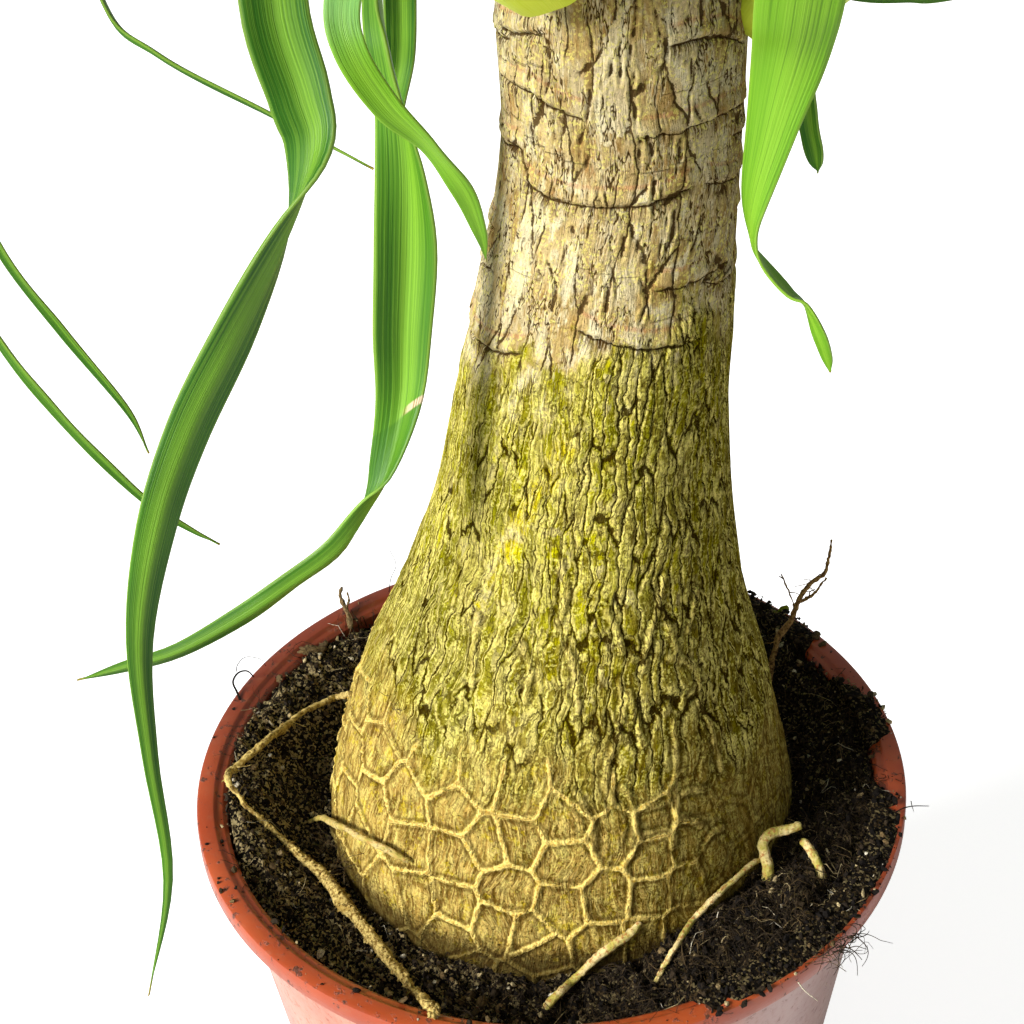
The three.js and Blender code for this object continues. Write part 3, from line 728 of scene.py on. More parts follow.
    # Flakes, light lips along the furrows, dark streaks, then the cracks themselves
    uneven = pattern.stem.between(1.0, 0.45) - pattern.foot * 0.5
    skin = skin.tint(flake.step(0.3, 0.2, 0.0, 0.4) * uneven, (104, 88, 18))
    skin = skin.tint(flake.step(0.76, 0.86, 0.0, 0.45) * uneven, (240, 224, 132))
    ridge = pattern.ridge
    lip = ridge.step(0.05, 0.1) * ridge.step(0.2, 0.12)
    lip = lip * pattern.ridged * patch.step(0.36, 0.52, 0.15, 0.85)
    skin = skin.tint(lip, (240, 222, 124))
    skin = skin.tint((pattern.vein * 0.4).largest(pattern.laid_lip * 0.3), (238, 214, 126))
    skin = skin.tint(pattern.slit_lip * (pattern.stem * 0.45), (250, 236, 192))
    skin = skin.tint(pattern.beside_vein * 0.6, (72, 58, 8))
    skin = skin.tint(fine_line * (marked * 0.8), (66, 50, 4))
    dark_streak = streak.step(0.46, 0.37) * marked
    skin = skin.tint(dark_streak * pattern.stem.between(0.75, 0.4), (92, 72, 12))
    grainy = grains.grain.step(0.4, 0.1) * marked
    skin = skin.tint(grainy * pattern.stem.between(0.5, 0.2), (84, 68, 6))
    skin = skin.tint(grains.light * (0.5 - pattern.foot * 0.25), (244, 232, 120))
    skin = skin.tint(grains.pits * pattern.stem.between(0.9, 0.6), (54, 40, 0))
    dark = pattern.crack.step(0.3, 0.85, 0.0, 0.92)
    skin = skin.tint(dark, graph.tint(pattern.stem, (50, 34, 2), (76, 54, 26)))
    # The corky net: a dark foot, a light band and a fine line along its middle
    beside = pattern.net_gap.step(0.7, 1.1) * pattern.net_gap.step(2.2, 1.3) * pattern.foot
    skin = skin.tint(beside * 0.6, (80, 56, 12))
    net_colour = graph.tint(grains.rough.step(0.3, 0.6), (204, 162, 60), settings.net)
    net_colour = net_colour.tint(pattern.net_gap.step(0.25, 0.05, 0.0, 0.6), (140, 100, 36))
    skin = skin.tint(pattern.net.step(0.15, 0.55), net_colour)
    dirt = grains.rough.times(14.0, plus=pattern.height_here).step(176, 168, 0.0, 0.85)
    skin = skin.tint(dirt, (44, 32, 14))

    height = streak.times(1.2, plus=pattern.height)
    height = (plate_tone * pattern.stem).times(0.7, plus=height)
    height = (ridge_tone[0] * pattern.middle).times(0.8, plus=height)
    height = fine_line.times(-0.6, plus=height)
    height = grains.rough.times(0.8, plus=height)
    height = (flake * uneven).times(0.35, plus=height)
    graph.dress(shader, skin, height)
    return material


def relief_tree():
    """Raises the trunk's surface by the bark's height."""
    tree = bpy.data.node_groups.new("Bark relief", "GeometryNodeTree")
    tree.interface.new_socket("Geometry", in_out="INPUT", socket_type="NodeSocketGeometry")
    tree.interface.new_socket("Geometry", in_out="OUTPUT", socket_type="NodeSocketGeometry")
    graph = Graph(tree)

    def named(name, kind="FLOAT"):
        return graph.made("GeometryNodeInputNamedAttribute", (name,), data_type=kind)

    pattern = bark_pattern(graph, named("bark place", "FLOAT_VECTOR"), *map(named, BARK_LINES))
    offset = graph.made("GeometryNodeInputNormal").scaled(pattern.height * MM)
    start = graph.made("NodeGroupInput")
    moved = graph.made("GeometryNodeSetPosition", {"Geometry": start, "Offset": offset})
    graph.node("NodeGroupOutput", (moved,))
    return tree


# The corky net away from the photo: its rows, the lowest one's height, a cell's height and width,
# and the least gap between two centres
NET_ROWS = 7
NET_START = 150
NET_RISE = 11.5
NET_WIDTH = 13.5
NET_GAP = 10.5
NET_TOP = 250
NET_FLATNESS = 0.9
# Rings of leaf scars on the stem
SCAR_RINGS = 9
SCAR_START = 326
SCAR_RISE = 13


def seat_net_cells(rng):
    """Cell centres of the corky net all round the trunk's foot; the seen ones are the photo's."""
    seats = [on_trunk(px, py) for px, py in NET_CELLS]
    for row in range(NET_ROWS):
        z = NET_START + row * NET_RISE
        x, radius = trunk_at(z)
        count = int(2 * math.pi * radius / NET_WIDTH)
        for k in range(count):
            angle = (k + 0.5 * (row % 2) + rng.uniform(-0.28, 0.28)) / count * 2 * math.pi
            place = Vector((x + radius * math.cos(angle), radius * math.sin(angle),
                            z + rng.uniform(-2.5, 2.5)))
            if all((place - seat).length > NET_GAP for seat in seats):
                seats.append(place)
    return seats


def net_distances(points, seats):
    """How far each point is from the nearest border between two cells."""
    tree = search_tree([(seat.x, seat.y, seat.z * NET_FLATNESS) for seat in seats])
    gaps = np.empty(len(points))
    for i, (x, y, z) in enumerate(points):
        if z > NET_TOP:
            gaps[i] = 9.0
            continue
        (near, _, near_gap), *others = tree.find_n((x, y, z * NET_FLATNESS), 3)
        gaps[i] = min(
            (gap**2 - near_gap**2) / (2 * (other - near).length) for other, _, gap in others
        )
    return gaps


def scar_routes(rng):
    """Lines of old leaf scars as angle and height pairs, with the photo's ones first."""
    routes = []
    for line in STEM_SCARS:
        places = [on_trunk(px, py) for px, py in line]
        routes.append([
            (math.atan2(place.y, place.x - trunk_at(place.z)[0]), place.z) for place in places
        ])
    for ring in range(SCAR_RINGS):
        z = SCAR_START + ring * SCAR_RISE
        angle = rng.uniform(0.0, 1.0)
        while angle < 2 * math.pi:
            width = rng.uniform(0.8, 1.7)
            sag = rng.uniform(2.0, 5.0)
            lift = rng.uniform(-3.0, 3.0)
            middle = angle + width / 2
            facing = math.cos(middle + math.pi / 2)
            if facing < 0.35:
                routes.append([
                    (angle + width * t / 6, z + lift + sag * (2 * t / 6 - 1) ** 2)
                    for t in range(7)
                ])
            angle += width * rng.uniform(0.8, 1.2)
    return routes


def scar_distances(angles, heights, routes):
    """Signed height over the nearest scar, and how strong that scar is there."""
    nearest = np.full(len(angles), 30.0)
    strength = np.zeros(len(angles))
    for route in routes:
        line = np.array(route)
        line[:, 0] = np.unwrap(line[:, 0])
        order = np.argsort(line[:, 0])
        line = line[order]
        middle = (line[0, 0] + line[-1, 0]) / 2
        turned = (angles - middle + math.pi) % (2 * math.pi) - math.pi + middle
        level = np.interp(turned, line[:, 0], line[:, 1])
        inside = (turned > line[0, 0] - 0.05) & (turned < line[-1, 0] + 0.05)
        end_gap = np.minimum(turned - line[0, 0], line[-1, 0] - turned)
        power = smooth(end_gap / 0.12 + 0.4)
        off = heights - level
        closer = inside & (np.abs(off) < np.abs(nearest))
        nearest = np.where(closer, off, nearest)
        strength = np.where(closer, power, strength)
    return nearest, strength


def trunk_profile(rows):
    """Rows of the trunk at even steps along its outline: height, X of the axis and radius."""
    fine = [(z, *trunk_at(z)) for z in np.linspace(140, 442, 600)]
    fine += [(z, CROWN.x, radius) for z, radius in CALLUS[1:]]
    fine = np.array(fine)
    steps = np.hypot(np.diff(fine[:, 0]), np.diff(fine[:, 2]))
    length = np.concatenate([[0], np.cumsum(steps)])
    even = np.linspace(0, length[-1], rows + 1)
    return np.column_stack([np.interp(even, length, fine[:, k]) for k in range(3)])


def build_trunk(settings):
    """The trunk's tube, rolled from a grid with more columns on its front."""
    columns, rows = settings.columns, settings.rows
    shape = bmesh.new()
    profile = trunk_profile(rows)
    for vert, across, row in grid_points(shape, columns, rows):
        turn = across + 0.45 * math.sin(2 * math.pi * across) / (2 * math.pi)
        angle = math.pi / 2 + 2 * math.pi * turn
        z, x, radius = profile[row]
        vert.co = (x + radius * math.cos(angle), radius * math.sin(angle), z)
    return sewn(shape, capped=True)


def lay_out_bark(mesh, seed):
    """Stores what the bark is drawn from on the trunk's points."""
    count = len(mesh.vertices)
    places = np.empty(count * 3)
    mesh.vertices.foreach_get("co", places)
    places = places.reshape(-1, 3) / MM
    axis = np.interp(places[:, 2], [key[0] for key in TRUNK_KEYS], [key[1] for key in TRUNK_KEYS])
    turned = np.column_stack([places[:, 0] - axis, places[:, 1], places[:, 2]])
    rng = random.Random(seed)
    seats = seat_net_cells(rng)
    net = net_distances(places, seats)
    angles = np.arctan2(turned[:, 1], turned[:, 0])
    scars, strength = scar_distances(angles, places[:, 2], scar_routes(rng))
    set_points(mesh, "bark place", turned)
    set_points(mesh, "net line", net)
    set_points(mesh, "scar line", scars)
    set_points(mesh, "scar strength", strength)
    for name, lines in (("pale scar", PALE_SCARS), ("long ridge", LONG_RIDGES),
                        ("stem crack", STEM_CRACKS)):
        set_points(mesh, name, line_gaps(places, lines))


def line_gaps(points, lines):
    """How far each point is from the nearest of the lines that are given by the photo's pixels."""
    spots = []
    for line in lines:
        keys = [tuple(on_trunk(px, py)) for px, py in line]
        count = 14 * (len(keys) - 1)
        spots += [along_keys(keys, k / 14) for k in range(count + 1)]
    tree = search_tree(spots)
    return np.array([tree.find(point)[2] for point in points])


def apply_modifiers(piece):
    """Leaves the piece with its evaluated mesh and no modifiers."""
    graph = bpy.context.evaluated_depsgraph_get()
    made = bpy.data.meshes.new_from_object(piece.evaluated_get(graph), depsgraph=graph)
    old = piece.data
    piece.modifiers.clear()
    piece.data = made
    made.name = old.name
    bpy.data.meshes.remove(old)


class TrunkSettings(PropertyGroup):
    columns: whole("Columns", "Faces round the trunk", 300)
    rows: whole("Rows", "Faces up the trunk", 325)
    seed: whole("Seed", "Picks another bark", 5)
    tan: hue("Stem", "Bark of the stem", 200, 168, 106)
    moss: hue("Moss", "Growth over the middle of the trunk", 182, 176, 10)
    net: hue("Net", "Raised lines of the corky net", 248, 222, 128)


class PALM_OT_trunk(Operator):
    """Adds the trunk with its corky net, furrows and leaf scars"""

    bl_idname = "palm.trunk"
    bl_label = "Add Trunk"

    def execute(self, context):
        settings = context.scene.palm_trunk
        piece = finished("trunk_bark", build_trunk(settings), bark_material(settings))
        lay_out_bark(piece.data, settings.seed)
        relief = piece.modifiers.new("Bark relief", "NODES")
        relief.node_group = relief_tree()
        apply_modifiers(piece)
        carried(piece, "corky_bark", "trunk")
        return {"FINISHED"}


# Pot

POT_HOLES = 6
POT_OUTLINE = [
    (0, 0), (45, 0), (47, 2), (59, 2), (61, 0), (74.6, 0), (75.8, 0.4), (76.2, 1.4), (97.4, 162),
    (97.8, 166.2), (103.4, 166.2), (103.7, 164), (104.9, 164), (105.1, 164.4), (105, 168.8),
    (104.7, 169.6), (103.9, 170), (100.2, 170), (99.8, 169.9), (99.2, 169.2), (98.6, 168.9),
    (97.6, 168.9), (97.1, 168.6), (96.2, 167.7), (95.8, 162), (75, 5), (73.4, 3.6), (0, 3.6),
]


def pot_material(settings):
    material, graph, shader = new_material("Terracotta plastic", 0.3, Coat_Weight=0.3)
    place = graph.object_place()
    across, out, height = place.parts()
    broad = place.noise(0.03, 3.0, 0.6)
    skin = graph.tint(broad.step(0.3, 0.7), (156, 62, 28), settings.plastic)
    # Sun and water have bleached the wall under the rim
    bleached = height.step(166, 158, 0.0, 0.6) * broad.step(0.25, 0.6, 0.5, 1.0)
    skin = skin.tint(bleached, (226, 162, 138))
    shaded = out.step(-20.0, 40.0, 0.0, 0.85) * across.step(20.0, -30.0)
    skin = skin.tint(shaded, (118, 50, 30))
    # Painted reflection in shade: the right of the wall under the rim is painted grey, as the white
    # studio shows on it there
    painted_reflection = broad.times(60.0, plus=across).step(60, 96) * height.step(165, 158, 0.0, 0.6)
    skin = skin.tint(painted_reflection, (172, 150, 148))
    dust = place.noise(0.35, 4.0, 0.75)
    grains = graph.grit(place, 0.6)
    rim = height.step(150, 168)
    dirt = grains.grain.step(0.8, 0.9) * dust.step(0.5, 0.6)
    dirt = dirt * rim.between(0.25, 0.9)
    skin = skin.tint(dust.step(0.5, 0.75) * 0.35, (150, 98, 70))
    skin = skin.tint(dirt, (70, 42, 28))
    graph.join((dust + dirt).step(0.35, 0.9, 0.3, 0.6), shader.inputs["Roughness"])
    moulding = place.stretched(0.25, 0.25, 1.2).noise(1.0, 2.0)
    relief = dirt.times(1.0, plus=moulding * 0.12)
    graph.dress(shader, skin, relief, 0.5)
    return material


def build_pot(settings):
    """The pot's outline, spun about its axis."""
    shape = bmesh.new()
    spun(shape, POT_OUTLINE, settings.sides)
    return sewn(shape)


def drain_cutter():
    shape = bmesh.new()
    for k in range(POT_HOLES):
        angle = (k + 0.5) / POT_HOLES * 2 * math.pi
        bmesh.ops.create_cone(shape, cap_ends=True, segments=32, radius1=4, radius2=4, depth=12,
                              matrix=Matrix.Translation(polar(53, angle, 2)))
    return shape


class PotSettings(PropertyGroup):
    sides: whole("Sides", "Faces round the pot", 180)
    sharp_edges: amount("Sharp edges", "Edges that turn more stay sharp", math.radians(38),
                        unit="ROTATION")
    plastic: hue("Plastic", "Colour of the pot", 174, 78, 40)


class PALM_OT_pot(Operator):
    """Adds the nursery pot with its flange, lip and drain holes"""

    bl_idname = "palm.pot"
    bl_label = "Add Pot"

    def execute(self, context):
        settings = context.scene.palm_pot
        piece = finished("nursery_pot", build_pot(settings), pot_material(settings))
        cutter = finished("drain_cutter", drain_cutter(), piece.data.materials[0])
        drains = piece.modifiers.new("Drain holes", "BOOLEAN")
        drains.operation, drains.object, drains.solver = "DIFFERENCE", cutter, "EXACT"
        apply_modifiers(piece)
        bpy.data.objects.remove(cutter)
        piece.data.set_sharp_from_angle(angle=settings.sharp_edges)
        carried(piece, "terracotta_plastic", "pot")
        return {"FINISHED"}


# Soil

# Where soil lies over the rim: pixels of the photo and the patch's radius in millimetres
RIM_SPILLS = [
    (762, 600, 9), (778, 606, 9), (793, 614, 8), (806, 628, 6), (846, 690, 5), (862, 696, 6),
    (874, 706, 6), (884, 726, 5), (890, 800, 4), (898, 828, 7), (902, 846, 7), (892, 862, 6),
    (878, 880, 5), (868, 905, 6), (862, 930, 6), (848, 945, 7), (834, 960, 6), (812, 972, 6),
    (790, 982, 6), (768, 990, 5), (744, 996, 4), (720, 1003, 4),
]


def heap(x, y):
    """How much the soil is piled up over its usual level, in millimetres."""
    radius = math.hypot(x, y)
    angle = math.degrees(math.atan2(y, x))
    right = eased((70 - abs(angle - 2)) / 30)
    outer = eased((radius - 74) / 16)
    back = eased((radius - 78) / 10) * eased(1 - abs(angle - 47) / 30)
    front = eased((radius - 76) / 14) * eased(1 - abs(angle + 48) / 26)
    mound = eased((58 - abs(angle + 30)) / 36) * eased((98 - radius) / 22)
    turned = angle if angle > 0 else angle + 360
    left = eased((66 - abs(turned - 148)) / 24) * eased((radius - 68) / 24)
    return 2.6 * right * outer + 6 * back + 3.6 * front + 7.5 * mound + 8.5 * left


def soil_top(x, y):
    """The soil's surface with its lumps, in millimetres."""
    lumps = noise.fractal(Vector((x, y, 0)) * 0.1, 1.0, 2.1, 3) * 2.0
    crumbs = noise.turbulence(Vector((x, y, 3)) * 0.34, 3, False) * 2.6
    return soil_height(x, y) + heap(x, y) + lumps + crumbs - 1.6


def soil_material(settings):
    material, graph, shader = new_material("Potting soil", 0.95, Specular_IOR_Level=0.1)
    place = graph.object_place()
    grains = graph.grit(place, 1.5)
    broad = place.noise(0.12, 3.0, 0.6)
    skin = graph.tint(grains.grain.step(0.45, 0.8), settings.peat, (72, 57, 34))
    skin = skin.tint(broad.step(0.45, 0.7, 0.0, 0.7), (30, 22, 13))
    # Painted light: the soil at the left, where the key light falls, gets more and paler specks
    left = place.parts()[0].step(-10.0, -50.0)
    speck = left * grains.grain.step(0.52, 0.68)
    skin = skin.tint(speck * 0.9, (186, 164, 116))
    skin = skin.tint(grains.light * left.between(0.45, 0.9), (176, 158, 112))
    skin = skin.tint(grains.pits, (6, 4, 2))
    relief = grains.rough.times(2.2, plus=grains.grain * 0.5)
    graph.dress(shader, skin, relief)
    return material


def crumb_material():
    """Crumbs and fibres: their own tone runs from near black through brown to pale."""
    made = bpy.data.materials.get("Crumbs and fibres")
    if made:
        return made
    material, graph, shader = new_material("Crumbs and fibres", 0.9, Specular_IOR_Level=0.2)
    place = graph.object_place()
    tone = graph.attribute("tone")
    skin = graph.tint(tone.step(0.0, 0.45), (15, 10, 7), (58, 46, 30))
    skin = skin.tint(tone.step(0.5, 0.7), (128, 104, 66))
    skin = skin.tint(tone.step(0.72, 0.85), (206, 184, 134))
    skin = skin.tint(tone.step(0.9, 0.97), (236, 226, 200))
    skin = skin.tint(graph.attribute("green"), (150, 160, 20))
    fine = place.noise(1.6, 3.0, 0.7)
    skin = skin.tint(fine.step(0.62, 0.4, 0.0, 0.55), (24, 18, 12))
    graph.dress(shader, skin, fine, 0.8)
    return material


def spill_patches():
    """Where round the rim each patch lies, how far out it goes and its size."""
    patches = []
    for px, py, size in RIM_SPILLS:
        patch = at_height(px, py, RIM_TOP).to_2d()
        patches.append((patch.normalized() * 100, patch.length + 1.5 - WALL_RADIUS, size))
    return patches


def spill_reach(x, y, patches):
    """How far out the soil goes on this side: to the wall, or over the rim."""
    here = Vector((x, y)).normalized() * 100
    ragged = noise.noise(Vector((here.x, here.y, 9)) * 0.45) * 3.0
    reach = 0.0
    for middle, outward, size in patches:
        gap = (here - middle).length
        reach = max(reach, (outward + ragged) * eased((size - gap) / 6 + 0.6))
    return WALL_RADIUS + min(max(reach, 0.0), 9.2)


def build_soil(settings):
    """A closed bed: the hollow under the trunk, the open surface, the wall and the base."""
    columns, rings = settings.columns, settings.rings
    shape = bmesh.new()
    hole = trunk_at(SOIL_LEVEL)[1] - 1.2
    patches = spill_patches()
    reaches = {}
    for vert, across, row in grid_points(shape, columns, rings + 1 + len(SOIL_SIDES)):
        column = round(across * columns) % columns
        along = polar(1, column / columns * 2 * math.pi)
        if column not in reaches:
            reaches[column] = spill_reach(along.x, along.y, patches)
        if row == 0:
            vert.co = along * (hole - 6) + Vector((FOOT_X, 0, HOLLOW_HEIGHT))
        elif row <= rings + 1:
            share = (row - 1) / rings
            inner = along * hole + Vector((FOOT_X, 0, 0))
            place = inner.lerp(along * reaches[column], share)
            z = soil_top(place.x, place.y)
            if place.length > SPILL_RADIUS:
                over = reaches[column] - SPILL_RADIUS
                edge = (place.length - SPILL_RADIUS) / max(over, 0.1)
                z = max(z, SPILL_TOP) * (1 - edge**3) + 169.6 * edge**3
            vert.co = (place.x, place.y, z)
        else:
            radius, z = SOIL_SIDES[row - rings - 2]
            vert.co = along * radius + Vector((0, 0, z))
    return sewn(shape, capped=True)


def rest_height(x, y):
    """What lies under a loose thing: the soil, or the flange of the pot."""
    radius = math.hypot(x, y)
    if radius < 96:
        return soil_top(x, y)
    return STEP_TOP if radius < STEP_RADIUS else RIM_TOP


def add_crumb(shape, layers, centre, size, turn, squash, tone, seed):
    made = bmesh.ops.create_icosphere(
        shape, subdivisions=1, radius=size,
        matrix=Matrix.Translation(centre) @ turn.to_matrix().to_4x4() @ squash,
    )["verts"]
    rng = random.Random(seed)
    for vert in made:
        vert[layers[0]] = tone
        vert.co = centre + (vert.co - centre) * rng.uniform(0.6, 1.3)
    return made


def radius_within(rng, ring):
    """A radius that spreads things evenly over a ring."""
    inner, outer = ring
    return math.sqrt(rng.uniform(inner**2, outer**2))


def build_crumbs(settings):
    rng = random.Random(settings.seed)
    patches = spill_patches()
    jobs = []
    while len(jobs) < settings.crumbs:
        angle = rng.uniform(0, 2 * math.pi)
        radius = radius_within(rng, CRUMB_RING)
        x, y = radius * math.cos(angle), radius * math.sin(angle)
        if math.hypot(x - FOOT_X, y) < 66:
            continue
        reach = spill_reach(x, y, patches) if radius > 94 else 106
        stray = rng.random() < 0.03
        if radius > reach + 1.2 and not stray:
            continue
        # Painted light: crumbs at the left, where the key light falls, are larger and painted paler
        left = x < -10
        size = 0.22 + 0.9 * rng.random() ** (2.6 if left else 3.4)
        turn = Quaternion((rng.gauss(0, 1), rng.gauss(0, 1), rng.gauss(0, 1), rng.gauss(0, 1)))
        turn.normalize()
        squash = Matrix.Diagonal((rng.uniform(0.6, 1.7), rng.uniform(0.6, 1.2),
                                  rng.uniform(0.45, 0.9), 1))
        base = SPILL_TOP if SPILL_RADIUS < radius < reach else rest_height(x, y)
        centre = Vector((x, y, base + size * rng.uniform(-0.1, 0.6)))
        look = (centre, size, turn, squash, 0.97 * rng.random() ** (1.3 if left else 3.2),
                len(jobs))
        jobs.append(lambda part, layers, look=look: add_crumb(part, layers, *look))
    return gathered(("tone",), jobs)


def path_frames(points, count):
    """Places, directions and a steady pair of side directions along a smooth path."""
    keys = [tuple(point) for point in points]
    last = len(keys) - 1
    places = [Vector(along_keys(keys, last * k / count)) for k in range(count + 1)]
    ways = []
    for k in range(count + 1):
        way = places[min(k + 1, count)] - places[max(k - 1, 0)]
        ways.append(way.normalized())
    side = ways[0].orthogonal().normalized()
    frames = []
    for place, way in zip(places, ways):
        side = (side - way * side.dot(way)).normalized()
        frames.append((place, side, way.cross(side)))
    return frames


def add_rod(shape, points, radius_at, sides, steps, values=()):
    """A round rod along a path: a grid rolled into a tube that closes in a point at each end."""
    frames = path_frames(points, steps)
    for vert, turn, row in grid_points(shape, sides, steps + 2):
        angle = 2 * math.pi * turn
        step = min(max(row - 1, 0), steps)
        place, side, across = frames[step]
        radius = radius_at(step / steps) if 0 < row < steps + 2 else 0.0
        vert.co = place + (side * math.cos(angle) + across * math.sin(angle)) * radius
        for layer, value in values:
            vert[layer] = value


def build_fibres(settings):
    """Fine dead roots that lie on the soil and hang over the rim."""
    rng = random.Random(settings.seed + 1)
    jobs = []
    for _ in range(settings.fibres):
        angle = rng.uniform(0, 2 * math.pi)
        if rng.random() < 0.4:
            angle = math.radians(rng.gauss(-45, 25))
        radius = radius_within(rng, FIBRE_RING)
        place = polar(radius, angle)
        heading = rng.uniform(0, 2 * math.pi)
        length = 2 + 12 * rng.random() ** 2
        curl = rng.gauss(0, 0.5)
        lift = rng.uniform(0.2, 2.4)
        points = []
        for j in range(5):
            points.append(Vector((
                place.x, place.y,
                rest_height(place.x, place.y) + lift * math.sin(math.pi * j / 4) + 0.1,
            )))
            heading += curl + rng.gauss(0, 0.25)
            place = place + polar(1, heading) * length / 4
            if math.hypot(place.x, place.y) > 103 or math.hypot(place.x - FOOT_X, place.y) < 67:
                heading += math.pi * 0.7
                place = place * 0.97 if math.hypot(place.x, place.y) > 90 else place * 1.04
        thick = rng.uniform(0.07, 0.18)
        tone = rng.uniform(0.15, 0.62) if rng.random() < 0.93 else rng.uniform(0.62, 1.0)
        jobs.append(lambda part, layers, points=points, thick=thick, tone=tone: add_rod(
            part, points, lambda t: thick * (1.1 - 0.7 * t), 3, 4, [(layers[0], tone)]))
    return gathered(("tone",), jobs)


class SoilSettings(PropertyGroup):
    columns: whole("Columns", "Faces round the bed", 640)
    rings: whole("Rings", "Rings over the open soil", 54)
    crumbs: whole("Crumbs", "Loose crumbs of soil", 8400)
    fibres: whole("Fibres", "Fine dead roots", 3400)
    seed: whole("Seed", "Places crumbs and fibres anew", 21)
    peat: hue("Peat", "Darkest colour of the soil", 18, 13, 8)


class PALM_OT_soil(Operator):
    """Adds the soil bed with its crumbs and fine dead roots"""

    bl_idname = "palm.soil"
    bl_label = "Add Soil"

    def execute(self, context):
        settings = context.scene.palm_soil
        bed = finished("soil_bed", build_soil(settings), soil_material(settings))
        carried(bed, "potting_soil", "soil")
        loose = crumb_material()
        crumbs = finished("soil_crumbs", build_crumbs(settings), loose, False)
        carried(crumbs, "potting_soil")
        fibres = finished("soil_fibres", build_fibres(settings), loose)
        carried(fibres, "potting_soil")
        return {"FINISHED"}


# Roots

# Each root's radii in millimetres and its line in the photo's pixels; the third number of a point
# is how far it lies over the soil or bark
ROOTS = [
    ("left", (0.7, 1.0, 0.8, 1.2, 1.0, 1.0, 0.7, 0.8, 1.4, 2.0, 1.5, 1.8, 1.0, 1.2, 0.7),
     [(352, 694, 0), (338, 697, 0.6), (318, 705, 1), (300, 715, 1), (284, 726, 1.2),
      (262, 744, 1.2), (240, 764, 2.2), (230, 773, 2.8), (231, 786, 2.6), (246, 803, 1.8),
      (264, 821, 1), (285, 842, 1), (308, 862, 1.2), (328, 882, 1.4), (346, 906, 1.4),
      (362, 925, 1.4), (378, 946, 1.2), (394, 968, 1), (408, 984, 1), (424, 1000, 1),
      (436, 1012, 0.6), (428, 1016, 0.3)]),
    ("branch", (0.8, 0.7, 0.6, 0.4),
     [(240, 764, 1.2), (252, 752, 1), (270, 738, 0.8), (284, 730, 0.6), (293, 724, 0.4)]),
    ("clinging", (0.5, 0.8, 1.0, 0.8, 0.8, 1.0, 0.7),
     [(308, 822, 1.2), (322, 818, 1.6), (340, 826, 1.9), (362, 838, 2.1), (384, 848, 2.1),
      (408, 861, 1.6)]),
    ("front", (0.9, 1.3, 1.2, 1.1, 1.2, 1.0),
     [(640, 922, 0.2), (632, 932, 0.9), (612, 946, 1), (594, 960, 1), (578, 976, 1), (562, 990, 1),
      (550, 1003, 0.8), (544, 1010, -0.6)]),
    ("thin", (0.7, 0.8, 0.9, 0.8, 0.7),
     [(768, 856, 2.0), (752, 864, 1.6), (736, 878, 1.2), (718, 894, 1), (704, 908, 1),
      (690, 924, 1), (676, 946, 1), (664, 966, 0.9), (656, 982, -0.6)]),
]
# Roots that stand up: X and Y are pixels and the third number is the height in millimetres
STANDING_ROOTS = [
    ("hooked", (1.5, 1.7, 1.5, 1.5, 1.6, 1.4, 1.2),
     [(769, 896, 162), (768, 880, 167), (768, 866, 171.5), (764, 852, 175), (763, 842, 177),
      (770, 834, 178), (781, 831, 178), (790, 829, 178.5), (800, 825, 179)]),
    ("stub", (1.2, 1.3, 1.3, 1.3, 1.2),
     [(826, 900, 160), (823, 886, 166), (821, 872, 169.5), (815, 858, 172), (809, 848, 173.5),
      (803, 841, 173.5)]),
    ("dead", (1.1, 1.1, 1.0, 0.8, 0.7, 0.5, 0.4),
     [(768, 690, 160), (771, 666, 168), (778, 644, 176), (790, 620, 184), (799, 600, 191),
      (812, 584, 196), (824, 574, 199), (829, 556, 205), (831, 540, 210)]),
    ("dead side", (0.5, 0.4, 0.3, 0.2),
     [(800, 602, 190), (811, 596, 192), (818, 590, 194), (826, 578, 197)]),
    ("dead left", (0.3, 0.25, 0.2),
     [(795, 610, 187), (791, 598, 190), (786, 584, 194), (781, 573, 197)]),
]
YOUNG_ROOTS = ("hooked", "stub", "thin", "front")


# A step in space that gives a second, different noise
AWAY = Vector((40, 9, 3))


def root_material(settings):
    material, graph, shader = new_material("Surface root", 0.8, Specular_IOR_Level=0.2)
    place = graph.object_place()
    young = graph.attribute("young")
    dead = graph.attribute("dead")
    grains = graph.grit(place, 1.3)
    fine = grains.rough
    broad = place.noise(0.18, 3.0, 0.6)
    old = graph.tint(fine.step(0.38, 0.6), (128, 98, 40), settings.cork)
    old = old.tint(broad.step(0.55, 0.7), (178, 146, 70))
    fresh = graph.tint(broad.step(0.4, 0.6), (224, 202, 140), (178, 166, 76))
    fresh = fresh.tint(fine.step(0.5, 0.62), (170, 118, 60))
    dry = graph.tint(fine.step(0.4, 0.6), (112, 80, 40), (184, 146, 86))
    skin = old.tint(young, fresh)
    skin = skin.tint(dead, dry)
    skin = skin.tint(grains.pits * young.between(0.8, 0.2), (72, 48, 18))
    graph.join(young.step(0.0, 1.0, 0.85, 0.5), shader.inputs["Roughness"])
    graph.dress(shader, skin, fine, 0.9)
    return material


def resting_line(line):
    """A root's middle line on what shows under it; it bridges the dips narrower than itself."""
    keys = [tuple(map(float, key)) for key in line]
    steps = 4 * (len(keys) - 1)
    looks = [along_keys(keys, k / 4) for k in range(steps + 1)]
    gaps = [(seen_at(px, py, lift) - CAMERA_PLACE).length for px, py, lift in looks]
    near = [min(gaps[max(k - 2, 0):k + 3]) for k in range(steps + 1)]
    even = [sum(near[max(k - 1, 0):k + 2]) / len(near[max(k - 1, 0):k + 2])
            for k in range(steps + 1)]
    return [CAMERA_PLACE + photo_ray(px, py) * gap for (px, py, _), gap in zip(looks, even)]


